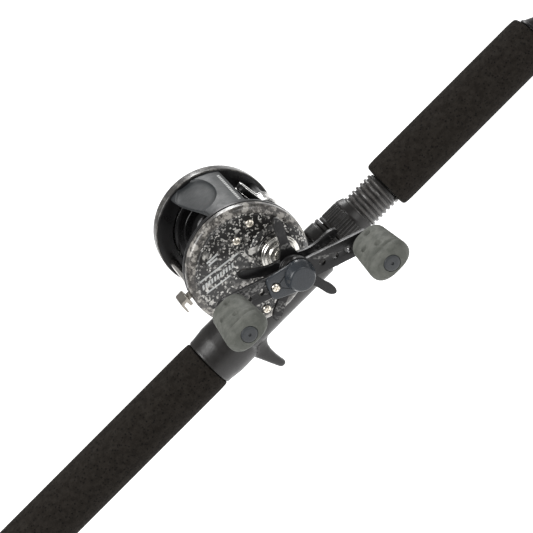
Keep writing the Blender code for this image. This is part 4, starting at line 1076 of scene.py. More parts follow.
def guide_frame(node, ring_node):
    """A round head with a rim, a leg that widens to the blank, and two tapered feet."""
    ring_low, ring_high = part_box(ring_node)
    x, rise = middle(ring_node).x, middle(ring_node).z
    hole = (ring_high.z - ring_low.z) / 2 / MM + 0.05
    low = blank_radius(x) + 0.3
    head = [(y, rise + z) for y, z in
            [((hole + 1.0) * math.cos(t), (hole + 1.0) * math.sin(t))
             for t in [math.radians(-52 + 284 * i / 48) for i in range(49)]]]
    sheet = plate("sheet", [head + [(-1.7, low + 0.2), (1.7, low + 0.2)],
                            circle(hole, 48, (0, rise))],
                  x - 0.45, x + 0.45, "X", 0.15)
    rim = turned("rim", [(x - 0.8, hole), (x - 0.8, hole + 0.9, 0.4), (x + 0.8, hole + 0.9, 0.4),
                         (x + 0.8, hole)],
                 "X", (0, rise), 64)
    feet = []
    for share in [-1 + i / 8 for i in range(17)]:
        width = 1.35 * math.sqrt(max(0.02, 1 - abs(share) ** 3))
        height = 0.95 * (1 - 0.75 * abs(share))
        base = blank_radius(x) + 0.1
        feet.append([(x + 10.0 * share, width * math.cos(t),
                      base + 0.5 * height + 0.5 * height * math.sin(t))
                     for t in [2 * math.pi * i / 16 for i in range(16)]])
    whole = merge(node + "_frame", [sheet, rim, lofted("feet", feet)])
    settle(whole, "rod", LOOKS["black_metal"], [node])
    return x, rise, hole


def guide_ring(ring_node, x, rise, hole):
    outer, inner = hole - 0.02, hole - 1.0
    corners = [(x - 1.0, inner + 0.3, 0.3), (x - 0.9, outer, 0.2), (x + 0.9, outer, 0.2),
               (x + 1.0, inner + 0.3, 0.3),
               (x + 0.5, inner, 0.3), (x - 0.5, inner, 0.3)]
    ring = turned(ring_node + "_insert", corners, "X", (0, rise), 64)
    settle(ring, "rod", LOOKS["ceramic"], [ring_node], 60)


for node in GUIDE_NODES:
    ring_node = "guide_ring_" + node[6:]
    guide_ring(ring_node, *guide_frame(node, ring_node))

# %% Thread bindings
THREAD_R = 0.16


def binding(name, start, end):
    """Turns of thread from start to end, lifted where a foot lies under them."""
    low_r, high_r = blank_radius(start) + THREAD_R, blank_radius(end) + THREAD_R
    wrap = grow(name, WINDING, Start_Radius=low_r * MM, End_Radius=high_r * MM,
                Length=(end - start) * MM,
                Turns=(end - start) / (2 * THREAD_R), Strand=1.04 * THREAD_R * MM, Steps=28,
                Sides=5,
                Material=LOOKS["binding"])
    wrap.data.transform(Matrix.Translation((start * MM, 0, 0)))
    return wrap


def lift_over_foot(wrap, x):
    """Raise thread above the foot; the foot thins towards its ends."""
    for vert in wrap.data.vertices:
        side, up = vert.co.y / MM, vert.co.z / MM
        if up > 0:
            height = 0.95 * max(0.0, 1 - 0.75 * abs(vert.co.x / MM - x) / 10.0) + 0.1
            vert.co.z += MM * height * max(0.0, 1 - (abs(side) / 3.4) ** 2)
    return wrap


def make_bindings():
    wraps = []
    for node in GUIDE_NODES:
        x = middle("guide_ring_" + node[6:]).x
        for start, end in ((x - 12.5, x - 1.6), (x + 1.6, x + 12.5)):
            wraps.append(lift_over_foot(binding("binding", start, end), x))
    whole = merge("guide_bindings", wraps)
    return settle(whole, "rod", LOOKS["binding"], sharp=80)


make_bindings()

# %% Tip-top and trim rings
def make_tip_top():
    low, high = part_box("tip_top")
    start, end = low.x / MM, high.x / MM
    bore, rise = TIP_R + 0.15, 5.3
    tube = turned("tip_tube", [(start, bore), (start, 1.95, 0.2), (end - 3.4, 1.95, 0.5),
                               (end - 2.0, 1.2, 0.5),
                               (end - 1.8, 0), (end - 5.0, 0), (end - 5.0, bore)], "X", (0, 0), 48)
    x = end - 1.6
    loop = turned("tip_loop", [(x - 1.1, 2.95, 0.3), (x - 1.1, 3.95, 0.4), (x + 1.1, 3.95, 0.4),
                               (x + 1.1, 2.95, 0.3)],
                  "X", (0, rise), 64)
    braces = []
    for side in (-1, 1):
        sections = []
        for k in range(9):
            share = k / 8
            centre = (x - 9.0 * (1 - share), side * 3.4 * share ** 1.4,
                      1.2 + (rise - 1.4) * share ** 1.2)
            sections.append([(centre[0], centre[1] + 0.5 * math.cos(t),
                              centre[2] + 0.5 * math.sin(t))
                             for t in [2 * math.pi * i / 10 for i in range(10)]])
        braces.append(lofted("brace", sections))
    tip = merge("tip_top_loop", [tube, loop] + braces)
    return settle(tip, "rod", LOOKS["black_metal"], ["tip_top"])


def make_trim():
    start = FORE_END + 0.3
    corners = [(start, MID_R + 0.05), (start, 9.4, 0.6), (start + 1.4, 9.4, 0.5),
               (start + 2.0, 8.6, 0.3),
               (start + 7.0, MID_R + 0.8, 0.8), (start + 7.0, MID_R + 0.05)]
    return settle(turned("winding_check", corners, "X", (0, 0), 96), "rod", LOOKS["black_metal"])


make_tip_top()
make_trim()
trim_wrap = binding("trim_binding", FORE_END + 7.4, FORE_END + 26.0)
settle(trim_wrap, "rod", LOOKS["binding"], sharp=80)

# %% [markdown]
# ## Reel frame
# Two side rings hold everything: the spool turns between them and both covers close on them.
# Their edges show as a thin black line behind each speckled rim. The rear bar is polished,
# because the palm rubs on it, and the foot plate is riveted to a crossbar.

# %% Side rings, bars and foot
def make_side_ring(name, node):
    low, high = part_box(node)
    start, end = low.y / MM, high.y / MM
    edge = SIDE_R - 0.7 if node == "frame_left" else SIDE_R + 0.05
    corners = [(start, 20.4, 0.3), (start, edge, 0.35), (end, edge, 0.35), (end, 20.4, 0.3)]
    ring = turned(name, corners, "Y", REEL, 160)
    if node == "frame_right":
        reach = (REEL[0] - SIDE_R - 2, REEL[0] - 23.6)
        slot = [(reach[0], REEL[1] + 1.7), (reach[1], REEL[1] + 1.7), (reach[1], REEL[1] + 9.9),
                (reach[0], REEL[1] + 9.9)]
        carve(ring, plate("slot", [slot], start - 1, end + 1, "Y", 0))
    carve(ring, turned("worm_hole", [(start - 1, 0), (start - 1, 1.95), (end + 1, 1.95),
                                     (end + 1, 0)], "Y", WORM, 32))
    return settle(ring, "rod", LOOKS["black_metal"], [node])


make_side_ring("left_side_ring", "frame_left")
make_side_ring("right_side_ring", "frame_right")


def make_bar(name, node, look, waist=0.0):
    low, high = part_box(node)
    start, end, radius = low.y / MM, high.y / MM, (high.x - low.x) / 2 / MM
    corners = [(start, 0), (start, radius, 0.3), (start + 2.6, radius, 0.3),
               (start + 3.4, radius - waist, 0.5),
               (end - 3.4, radius - waist, 0.5), (end - 2.6, radius, 0.3), (end, radius, 0.3),
               (end, 0)]
    return settle(turned(name, corners, "Y", axis_of(node), 48), "rod", look, [node])


make_bar("polished_rear_bar", "rear_bar", LOOKS["bar_metal"], 0.0)
make_bar("front_tie_bar", "front_pillar", LOOKS["black_metal"])


def make_foot():
    low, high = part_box("reel_foot")
    top, half = low.z / MM + 2.0, (high.x - low.x) / 2 / MM
    outline = []
    for k in range(64):
        t = 2 * math.pi * k / 64
        x = half * rounded(math.cos(t), 0.45)
        width = 6.5 - 1.6 * min(1.0, max(0.0, abs(x) - 12) / 20)
        outline.append((REEL[0] + x, width * rounded(math.sin(t), 0.5)))
    foot = plate("foot_plate", [outline], low.z / MM, top, "Z", 0.5)
    bar = plate("crossbar", [[(REEL[0] - 9, -19.4), (REEL[0] + 9, -19.4), (REEL[0] + 9, 19.4),
                              (REEL[0] - 9, 19.4)]],
                top - 0.2, high.z / MM, "Z", 0.5)
    rivets = [turned("rivet", [(high.z / MM - 0.3, 0), (high.z / MM - 0.3, 1.4),
                               (high.z / MM + 0.5, 1.0, 0.4),
                               (high.z / MM + 0.6, 0)], "X", (0, 0), 24) for _ in range(3)]
    for k, piece in enumerate(rivets):
        piece.data.transform(Matrix.Rotation(-math.pi / 2, 4, "Y"))
        piece.data.transform(Matrix.Translation(((REEL[0] + 5.5 * (k - 1)) * MM, 0, 0)))
    return settle(merge("riveted_foot", [foot, bar] + rivets), "rod", LOOKS["black_metal"],
                  ["reel_foot"])


make_foot()

# %% [markdown]
# ## Side covers
# Each cover is a shallow pressed cup with a raised, rounded rim. The crank side also carries
# a round housing over the drag, a bright bearing cap and a few plain printed bands.

# %% Speckled covers
def cover_corners(sign, inner, skirt):
    """Profile of a cover from its axis over the rim, down to the skirt's edge and back inside."""
    out = 27.3
    outer = [(out - 0.75, inner), (out - 0.75, 23.7, 0.5), (out - 0.25, 24.2, 0.3),
             (out - 0.15, 25.6, 0.5),
             (out - 0.9, 27.3, 0.6), (out - 1.9, 28.25, 0.6), (skirt + 0.3, 28.4, 0.1),
             (skirt, 28.2, 0.2),
             (skirt, 27.9), (out - 5.0, 27.9), (out - 5.0, 26.9), (out - 1.3, 26.9, 0.4),
             (out - 1.3, inner)]
    return [(sign * c[0], *c[1:]) for c in outer]


def make_gear_side():
    cover = turned("crank_side_cover", cover_corners(-1, 0, 22.3), "Y", REEL, 192)
    return settle(cover, "rod", LOOKS["speckle"], ["gear_cover"], 40)


def make_drag_housing():
    face = 26.4
    corners = [(-face, 0), (-face, 13.6), (-26.9, 13.5, 0.3), (-28.2, 12.0, 0.4),
               (-28.5, 11.3, 0.3),
               (-28.25, 10.9, 0.1), (-28.25, 10.3, 0.1), (-28.6, 10.1, 0.2), (-28.6, 0)]
    return settle(turned("drag_housing", corners, "Y", CRANK, 128), "rod", LOOKS["shards"],
                  sharp=40)


def make_palm_side():
    cover = turned("palm_side_cover", cover_corners(1, 3.6, 19.9), "Y", REEL, 192)
    slot = [(REEL[0] + x, REEL[1] + z) for x,
            z in ((-9.7, -16.7), (-0.4, -16.7), (-0.4, -13.3), (-9.7, -13.3))]
    carve(cover, plate("slot", [slot], 24, 29, "Y", 0))
    return settle(cover, "rod", LOOKS["palm_speckle"], ["palm_cover"], 40)


make_gear_side()
make_drag_housing()
make_palm_side()

# %% Printed bands
def blocks(start, end, width, count, slant, gap):
    """Slanted blocks along a line, as flat loops."""
    start, end = Vector(start), Vector(end)
    along = (end - start).normalized()
    across = Vector((-along.y, along.x)) * 0.5 * width
    lean = along * slant * width
    pitch = (end - start).length / count
    loops = []
    for k in range(count):
        first, last = start + along * pitch * k, start + along * (pitch * (k + 1) - gap)
        loops.append([tuple(p) for p in (first - across, last - across, last + across + lean,
                                         first + across + lean)])
    return loops


def make_cover_print():
    """Plain pale bands: a wide slanted one with a thin one above and below, and a small block."""
    bands = (blocks((-20.4, 11.6), (0.2, 8.6), 0.8, 1, 0.3, 0.0) + blocks((-21.6, 8.7),
            (-4.4, 6.1), 2.0, 11, 0.5, 0.62)
             + blocks((-21.4, 5.4), (-8.9, 3.4), 0.7, 1, 0.3, 0.0) + blocks((-12.2, 15.9),
                     (-5.9, 15.4), 0.8, 1, 0.3, 0.0)
             + blocks((-12.3, 14.5), (-7.4, 14.1), 0.8, 1, 0.3, 0.0))
    loops = [[(REEL[0] + x, REEL[1] + z) for x, z in loop] for loop in bands]
    return settle(plate("cover_print", loops, -26.61, -26.5, "Y", 0), "rod", LOOKS["print"])


def make_thumb_print():
    """A row of small pale blocks along the thumb rest's front edge."""
    rows = plate("thumb_print", blocks((-16.0, 0.0), (15.0, 0.0), 1.2, 16, 0.4, 0.55), 27.3, 27.46,
                 "Z", 0)
    turn = math.radians(50.0)
    out, side = Vector((math.cos(turn), 0, math.sin(turn))), Vector((math.sin(turn), 0,
            -math.cos(turn)))
    rows.data.transform(Matrix((Vector((0, 1, 0)), side, out)).transposed().to_4x4())
    rows.data.transform(Matrix.Translation((REEL[0] * MM, 0, REEL[1] * MM)))
    return settle(rows, "rod", LOOKS["print"])


make_cover_print()

# %% Bearing cap
def make_bearing_cap():
    low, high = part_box("bearing_cap")
    seat, top = -high.y / MM, -low.y / MM
    radius, bore = (high.x - low.x) / 2 / MM, 2.9
    corners = [(-seat, bore), (-seat, radius, 0.3), (-seat - 1.3, radius, 0.4),
               (-seat - 1.6, radius - 0.9, 0.2),
               (-seat - 2.1, radius - 1.1, 0.3), (-seat - 2.4, radius - 2.2, 0.2),
               (-seat - 2.2, radius - 2.4, 0.1),
               (-seat - 2.2, radius - 2.9, 0.1), (-top, radius - 3.4, 0.4),
               (-top, bore + 0.8, 0.2), (-top + 0.4, bore, 0.1)]
    return settle(turned("bright_bearing_cap", corners, "Y", CRANK, 128), "rod",
                  LOOKS["cap_metal"], ["bearing_cap"])


make_bearing_cap()

# %% [markdown]
# ## Cross-head screws
# All the visible screws are the same pan head with a cross recess. One function makes the
# head and cuts the cross, and each screw replaces its own node.

# %% Screws
def cross_screw(name, node, body, radius):
    low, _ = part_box(node)
    x, z = axis_of(node)
    face, top = -low.y / MM - 1.15, -low.y / MM
    head = turned("head", [(-face + 4.0, 0), (-face + 4.0, 0.8), (-face, 0.8), (-face, radius, 0.2),
                           (-face - 0.55, radius, 0.4), (-top - 0.1, 0.55 * radius, 0.7),
                           (-top - 0.15, 0)],
                  "Y", (x, z), 48)
    for long_way in (0, 1):
        reach = (0.62 * radius, 0.13 * radius)
        half = reach if long_way == 0 else reach[::-1]
        turn = math.radians(23)
        loop = [(x + a * math.cos(turn) - b * math.sin(turn),
                 z + a * math.sin(turn) + b * math.cos(turn))
                for a, b in ((half[0], half[1]), (-half[0], half[1]), (-half[0], -half[1]),
                             (half[0], -half[1]))]
        carve(head, plate("cross", [loop], -top - 1.0, -top + 0.55, "Y", 0))
    head.name = name
    return settle(head, body, LOOKS["screw_metal"], [node], 30)


for number in (1, 2, 3):
    cross_screw("cross_screw_%d" % number, "cover_screw_%d" % number, "rod", 1.85)
cross_screw("nut_cover_cross_screw", "nut_cover_screw", "crank", 1.9)

# %% [markdown]
# ## Thumb rest
# A slate-coloured moulding bridges the side plates over the front of the spool. Its rear edge
# swings back on the palm side, where a round scoop takes the thumb. It follows a rule in
# two directions, angle and width, so it is built as a grid and its inner face is the same
# grid on a smaller radius.

# %% Thumb rest
THUMB_LOW, THUMB_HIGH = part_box("thumb_rest")


FRONT_ANGLE = 44.9
SCOOP_Y, SCOOP_ANGLE, SCOOP_LONG, SCOOP_WIDE = 4.5, 81.5, 16.3, 9.6


def thumb_rear_angle(share):
    """Angle of the rear edge, from the crank side at 0 to the palm side at 1."""
    return 83.0 + 18.0 * share * share * (3 - 2 * share)


def thumb_radius(y, degrees, share):
    """Outer radius with an oval scoop whose edge is crisp, and softened borders."""
    side = math.radians(degrees - SCOOP_ANGLE) * 27.2
    away = ((y - SCOOP_Y) / SCOOP_LONG) ** 2 + (side / SCOOP_WIDE) ** 2
    scoop = 2.1 * math.sqrt(max(0.0, 1 - away)) * min(1.0, 12 * max(0.0, 1 - away))
    rim = min(share, 1 - share)
    return 27.4 - scoop - 0.5 * max(0.0, 1 - rim / 0.03) ** 2


def make_thumb_rest():
    half = THUMB_HIGH.y / MM
    across, around = 120, 96
    bm = bmesh.new()
    sheets = []
    for inner in (False, True):
        rows = []
        for i in range(across + 1):
            y = -half + 2 * half * i / across
            last = thumb_rear_angle(i / across)
            row = []
            for k in range(around + 1):
                degrees = FRONT_ANGLE + (last - FRONT_ANGLE) * k / around
                radius = 24.4 if inner else thumb_radius(y, degrees, k / around)
                turn = math.radians(degrees)
                row.append(bm.verts.new(Vector((REEL[0] + radius * math.cos(turn), y,
                                                REEL[1] + radius * math.sin(turn))) * MM))
            rows.append(row)
        sheets.append(rows)
        for a, b in zip(rows, rows[1:]):
            for k in range(around):
                bm.faces.new((a[k], a[k + 1], b[k + 1], b[k]))
    outer, under = sheets
    for k in range(around):
        for row in (0, -1):
            bm.faces.new((outer[row][k], outer[row][k + 1], under[row][k + 1], under[row][k]))
    for i in range(across):
        for k in (0, -1):
            bm.faces.new((outer[i][k], outer[i + 1][k], under[i + 1][k], under[i][k]))
    return settle(as_object("scooped_thumb_rest", bm), "rod", LOOKS["slate"], ["thumb_rest"],
                  38)


make_thumb_rest()
make_thumb_print()

# %% [markdown]
# ## Spool and level wind
# The empty spool is black anodised metal: two flanges with a bead at the rim and steps down
# to the arbor. In front of it the worm turns inside a slotted tube, and the line guide
# rides on the tube. The worm's two crossing grooves are strands of opposite hand.

# %% Spool
def make_spool():
    low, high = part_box("spool")
    out, radius = high.y / MM, (high.z - low.z) / 2 / MM
    side = [(out - 1.2, 1.4), (out - 1.2, 6.0, 0.4), (out - 0.2, 7.0, 0.4), (out - 0.2, 15.0, 0.4),
            (out - 0.5, 16.0, 0.4),
            (out, radius - 1.2, 0.4), (out, radius, 0.4), (out - 1.0, radius, 0.4),
            (out - 1.5, radius - 1.6, 0.4),
            (out - 1.6, radius - 4.4, 0.3), (out - 2.0, radius - 4.7, 0.2), (out - 2.0, 12.0, 0.8),
            (out - 3.6, 9.5, 1.2)]
    corners = side + [(-c[0], *c[1:]) for c in reversed(side)]
    return settle(turned("anodised_spool", corners, "Y", REEL, 160), "spool", LOOKS["spool"],
                  ["spool"])


make_spool()

# %% Worm, tube and line guide
def make_worm():
    low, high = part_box("worm_shaft")
    start, end = low.y / MM, high.y / MM
    core = turned("core", [(start, 0), (start, 1.6, 0.2), (end, 1.6, 0.2), (end, 0)], "Y", WORM, 40)
    strands = []
    for hand in (1, -1):
        strand = grow("strand", WINDING, Start_Radius=1.5 * MM, End_Radius=1.5 * MM,
                      Length=34.0 * MM, Turns=5.5,
                      Strand=0.22 * MM, Steps=40, Sides=8, Material=LOOKS["steel"])
        if hand < 0:
            strand.data.transform(Matrix.Scale(-1, 4, (0, 0, 1)))
            strand.data.flip_normals()
        strand.data.transform(Matrix.Rotation(math.pi / 2, 4, "Z"))
        strand.data.transform(Matrix.Translation((WORM[0] * MM, -17.0 * MM, WORM[1] * MM)))
        strands.append(strand)
    return settle(merge("crossed_worm", [core] + strands), "worm", LOOKS["steel"], ["worm_shaft"])


def make_worm_tube():
    low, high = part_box("worm_tube")
    gap = math.radians(34)
    turns = [-0.5 * math.pi + gap + (2 * math.pi - 2 * gap) * i / 60 for i in range(61)]
    outer = [(WORM[0] + 3.4 * math.cos(t), WORM[1] + 3.4 * math.sin(t)) for t in turns]
    inner = [(WORM[0] + 2.6 * math.cos(t), WORM[1] + 2.6 * math.sin(t)) for t in reversed(turns)]
    tube = plate("slotted_tube", [outer + inner], low.y / MM, high.y / MM, "Y", 0.12)
    return settle(tube, "rod", LOOKS["black_metal"], ["worm_tube"])


def make_line_guide():
    """A sleeve and a tall loop, a dark strip wide from front to back with bright wires on its edges."""
    sleeve = turned("sleeve", [(-4.5, 3.7), (-4.5, 4.9, 0.4), (-3.4, 5.0, 0.3), (-3.0, 4.6, 0.3),
                               (3.0, 4.6, 0.3),
                               (3.4, 5.0, 0.3), (4.5, 4.9, 0.4), (4.5, 3.7)], "Y", WORM, 64)
    lean = math.radians(7.3)
    up, front = Vector((-math.sin(lean), 0, math.cos(lean))), Vector((math.cos(lean), 0,
            math.sin(lean)))
    top = 17.1 - 3.7 - 0.9
    path = [(-3.7, 4.3)] + [(-3.7, 4.3 + (top - 4.3) * k / 6) for k in range(1, 6)]
    path += [(-3.7 * math.cos(math.pi * i / 20),
              top + 3.7 * math.sin(math.pi * i / 20)) for i in range(21)]
    path += [(-p[0], p[1]) for p in reversed(path[:6])]
    sections, wires = [], ([], [])
    for i, (y, rise) in enumerate(path):
        ahead, behind = path[min(i + 1, len(path) - 1)], path[max(i - 1, 0)]
        along = Vector((ahead[0] - behind[0], ahead[1] - behind[1])).normalized()
        out = Vector((0, along.y, 0)) - along.x * up
        centre = Vector((WORM[0], y, WORM[1])) + rise * up
        turns = [2 * math.pi * k / 16 for k in range(16)]
        sections.append([tuple(centre + 1.5 * rounded(math.cos(t),
                                                      0.5) * front + 0.4 * rounded(math.sin(t),
                                                              0.6) * out)
                         for t in turns])
        for wire, side in zip(wires, (-1.5, 1.5)):
            wire.append([tuple(centre + (side + 0.2 * math.cos(t)) * front + 0.48 * math.sin(t) * out)
                         for t in turns])
    settle(lofted("line_guide_strip", sections), "guide", LOOKS["spool"])
    guide = merge("polished_line_guide", [sleeve] + [lofted("wire", wire) for wire in wires])
    return settle(guide, "guide", LOOKS["guide_metal"], ["line_guide"])


make_worm()
make_worm_tube()
make_line_guide()

# %% [markdown]
# ## Star drag
# The star is a five-armed wheel under the crank. Its arms sweep outwards and swell at their
# tips so that a thumb can push them. The wheel is one plate cut to the outline of all five
# arms, with softened edges and a shallow dish, on a turned hub.

# %% Star drag
def smooth_line(points, steps=6):
    """A curve through all the points."""
    line = []
    for i in range(len(points) - 1):
        a, b = Vector(points[max(i - 1, 0)]), Vector(points[i])
        c, d = Vector(points[i + 1]), Vector(points[min(i + 2, len(points) - 1)])
        for k in range(steps):
            t = k / steps
            line.append(0.5 * (2 * b + (c - a) * t + (2 * a - 5 * b + 4 * c - d) * t * t
                               + (3 * b - a - 3 * c + d) * t ** 3))
    return line + [Vector(points[-1])]


def star_outline():
    """Five leaf-shaped arms joined by smooth webs."""
    web = (7.3 * math.cos(math.pi / 5), 7.3 * math.sin(math.pi / 5))
    flank = smooth_line([web, (7.6, 3.6), (9.6, 2.75), (12.5, 2.15), (15.5, 1.95), (18.5, 2.05),
                         (21.0, 2.15),
                         (23.2, 1.7), (24.6, 0.8), (25.0, 0.0)])
    outline = []
    for k in range(5):
        turn = math.radians(-5.3 + 72 * k)
        arm = [(a, -w) for a, w in flank[:-1]] + [(a, w) for a, w in reversed(flank)][:-1]
        outline += [(CRANK[0] + a * math.cos(turn) - w * math.sin(turn),
                     CRANK[1] + a * math.sin(turn) + w * math.cos(turn)) for a, w in arm]
    return outline


STAR_FACE, STAR_PLATE, SHAFT_BORE = 45.5, 2.0, 2.9
STAR_DISH, DISH_START, DISH_SPAN = 0.4, 7.0, 18.0


def make_star():
    low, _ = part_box("star_drag")
    out, end = STAR_FACE, -low.y / MM
    wheel = plate("wheel", [star_outline(), circle(SHAFT_BORE, 40, CRANK)], -out, -out + STAR_PLATE,
                  "Y", 0.6)
    flatten(wheel)
    for vert in wheel.data.vertices:
        reach = math.hypot(vert.co.x / MM - CRANK[0], vert.co.z / MM - CRANK[1])
        share = min(1.0, max(0.0, reach - DISH_START) / DISH_SPAN)
        vert.co.y -= STAR_DISH * MM * math.sin(math.pi * share)
    hub = turned("hub", [(-41.0, SHAFT_BORE), (-41.0, 5.6, 0.4), (-41.8, 6.2, 0.4),
                         (-out - 0.4, 6.4, 0.5), (-out - 0.8, 5.6, 0.3),
                         (-end + 0.4, 5.4, 0.4), (-end, 5.0, 0.2), (-end, SHAFT_BORE)],
                 "Y", CRANK, 64)
    return settle(merge("swept_star", [wheel, hub]), "star", LOOKS["black_metal"], ["star_drag"],
                  40)


make_star()

# %% [markdown]
# ## Crank
# The crank arm is a flat bar with rounded edges and three balance holes on each side of its
# hub. A blue-grey cover hides the shaft nut: a dome over the nut and a tail that is screwed
# down into one of the holes.

# %% Crank arm
def arm_point(along, across=0.0):
    return (CRANK[0] + along * math.cos(ARM_TURN) - across * math.sin(ARM_TURN),
            CRANK[1] + along * math.sin(ARM_TURN) + across * math.cos(ARM_TURN))


def make_crank_arm():
    low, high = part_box("crank_arm")
    half, hub, reach = 4.8, 7.5, 33.5
    corner = math.sqrt(hub ** 2 - half ** 2)
    bulge = [(corner * math.cos(math.pi * k / 16),
              math.sqrt(hub ** 2 - (corner * math.cos(math.pi * k / 16)) ** 2))
             for k in range(17)]
    cap = [(half * math.sin(math.pi * k / 16), half * math.cos(math.pi * k / 16))
           for k in range(1, 16)]
    top = [(reach, half)] + bulge + [(-reach, half)]
    outline = top + [(-reach - a, w) for a, w in cap]
    outline += [(-a, -w) for a, w in top] + [(reach + a, -w) for a, w in cap]
    loops = [[arm_point(a, w) for a, w in outline], circle(2.9, 40, CRANK)]
    for sign in (-1, 1):
        loops += [circle(1.6, 28, arm_point(sign * a)) for a in (11.5, 17.8, 24.0)]
    arm = plate("crank_bar", loops, low.y / MM, high.y / MM, "Y", 0.5)
    return settle(arm, "crank", LOOKS["black_metal"], ["crank_arm"])


make_crank_arm()

# %% Nut cover
def make_nut_cover():
    low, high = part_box("nut_cover")
    start, top = -high.y / MM, -low.y / MM
    dome = turned("dome", [(-start, 4.8), (-start, 7.1, 0.3), (-start - 1.9, 7.1, 1.2),
                           (-top + 1.4, 6.1, 0.7),
                           (-top, 5.5, 0.9), (-top - 0.05, 0), (-top + 2.2, 0), (-top + 2.2, 4.8)],
                           "Y", CRANK, 96)
    screw = axis_of("nut_cover_screw")
    reach = math.dist(screw, CRANK)
    outline = fillet([(-1.0, 6.9), (-reach - 3.2, 5.3, 2.6), (-reach - 3.2, -5.3, 2.6),
                      (-1.0, -6.9)], 8)
    hole = circle(2.1, 32, screw)
    tail = plate("tail", [[arm_point(a, w) for a, w in outline], hole, circle(4.9, 48, CRANK)][:2],
                 -start - 1.75, -start, "Y", 0.45)
    carve(tail, turned("nut_room", [(-start + 1, 0), (-start + 1, 4.8), (-start - 3, 4.8),
                                    (-start - 3, 0)], "Y", CRANK, 48))
    return settle(merge("domed_nut_cover", [dome, tail]), "crank", LOOKS["nut_cover"],
                  ["nut_cover"], 34)


make_nut_cover()

# %% [markdown]
# ## Knobs
# The knobs are soft-touch paddles, narrow where they meet the arm and wide at the free end.
# Three thumb dimples sit on each broad face, and a shallow step runs across near the
# end. They are one lofted skin with many rings, so the dimples can be pressed into the
# mesh with a smooth formula.

# %% Paddle knobs
DIMPLES = ((1.6, 5.6), (-4.1, 12.2), (1.6, 16.9))


def knob_section(centre, y, half, thick):
    return [(centre[0] + half * rounded(math.cos(t), 0.72), y,
             centre[1] + thick * rounded(math.sin(t), 0.78))
            for t in [2 * math.pi * k / 192 for k in range(192)]]


KNOB_RINGS, CREASE_AT, CREASE_SPREAD, CREASE_DEPTH = 144, 0.79, 0.03, 0.8
ROOT_HALF, HALF_GROWTH, ROOT_THICK, THICK_LOSS = 8.4, 1.8, 6.2, 0.2
DIMPLE_DEPTH, DIMPLE_RADIUS, FLAT_FROM = 1.1, 1.4, 2.0


def make_knob(node):
    low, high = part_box(node)
    centre, start, length = KNOBS[node], -high.y / MM, (high.y - low.y) / MM
    sections = []
    for k in range(KNOB_RINGS + 1):
        share = 0.5 - 0.5 * math.cos(math.pi * k / KNOB_RINGS)
        half = ROOT_HALF + HALF_GROWTH * share
        root, tip = max(0.0, (0.16 - share) / 0.16), max(0.0, (share - 0.84) / 0.16)
        wide = 1 - 0.30 * root ** 2.2 - 0.30 * tip ** 2.2
        thick = (ROOT_THICK - THICK_LOSS * share - 1.5 * max(0.0, (0.12 - share) / 0.12) ** 2
                 - 1.3 * max(0.0, (share - 0.9) / 0.1) ** 2)
        crease = CREASE_DEPTH * math.exp(-((share - CREASE_AT) / CREASE_SPREAD) ** 2)
        sections.append(knob_section(centre, -start - length * share, half * wide, thick - crease))
    knob = lofted(node + "_paddle", sections)
    for vert in knob.data.vertices:
        x, along = vert.co.x / MM - centre[0], -start - vert.co.y / MM
        z = vert.co.z / MM - centre[1]
        if abs(z) < FLAT_FROM:
            continue
        for dx, dy in DIMPLES:
            away = math.hypot(x - dx, along - dy)
            vert.co.z -= math.copysign(DIMPLE_DEPTH * MM * math.exp(-(away / DIMPLE_RADIUS) ** 6), z)
    end = start + length
    well = turned("well", [(-end - 1, 0), (-end - 1, 3.85), (-end + 1.0, 3.85), (-end + 1.0, 0)],
                  "Y", centre, 64)
    carve(knob, well)
    settle(knob, node, LOOKS["knob"], [node], 45)
    face = end + 0.15
    cap = [(-face + 1.0, 0), (-face + 1.0, 3.7), (-face, 3.7, 0.5), (-face - 0.35, 2.7, 0.3),
           (-face - 0.4, 0.7, 0.15),
           (-face + 0.2, 0.6, 0.1), (-face + 0.2, 0)]
    settle(turned(node + "_end_cap", cap, "Y", centre, 64), node, LOOKS["knob_cap"],
           [node + "_cap"])


for node in ("knob_a", "knob_b"):
    make_knob(node)

# %% [markdown]
# ## Buttons and controls
# The spool release is a ridged tab behind the crank side plate. On the palm side are the
# cast control, a knurled knob over the end of the spool shaft, and the clicker's sliding button.

# %% Spool release
def make_release():
    """A flat tab whose outer edge turns down into a lip, on a stem through the side plate."""
    low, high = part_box("release_button")
    inner, outer = REEL[0] - SIDE_R - 0.3, low.x / MM
    top, bottom = high.z / MM, low.z / MM
    wall = 1.3
    outline = fillet([(inner, bottom + 1.4), (inner, top - 0.2, 0.4), (outer + 0.3, top - 0.3, 1.2),
                      (outer, bottom, 0.3), (outer + 0.8, bottom, 0.3),
                      (outer + wall, top - wall - 0.4, 0.5),
                      (inner - 1.5, top - wall - 0.2, 0.5), (inner - 1.5, bottom + 1.4)], 5)
    tab = plate("tab", [outline], low.y / MM, high.y / MM, "Y", 0.35)
    y = middle("release_button").y
    stem_z = REEL[1] + 6.3
    stem = plate("stem", [[(inner - 1, stem_z), (REEL[0] - 24.0, stem_z),
                           (REEL[0] - 24.0, stem_z + 3.0),
                           (inner - 1, stem_z + 3.0)]], y - 0.65, y + 0.65, "Y", 0.15)
    return settle(merge("lipped_release", [tab, stem]), "release", LOOKS["release_metal"],
                  ["release_button"],
                  35)


make_release()

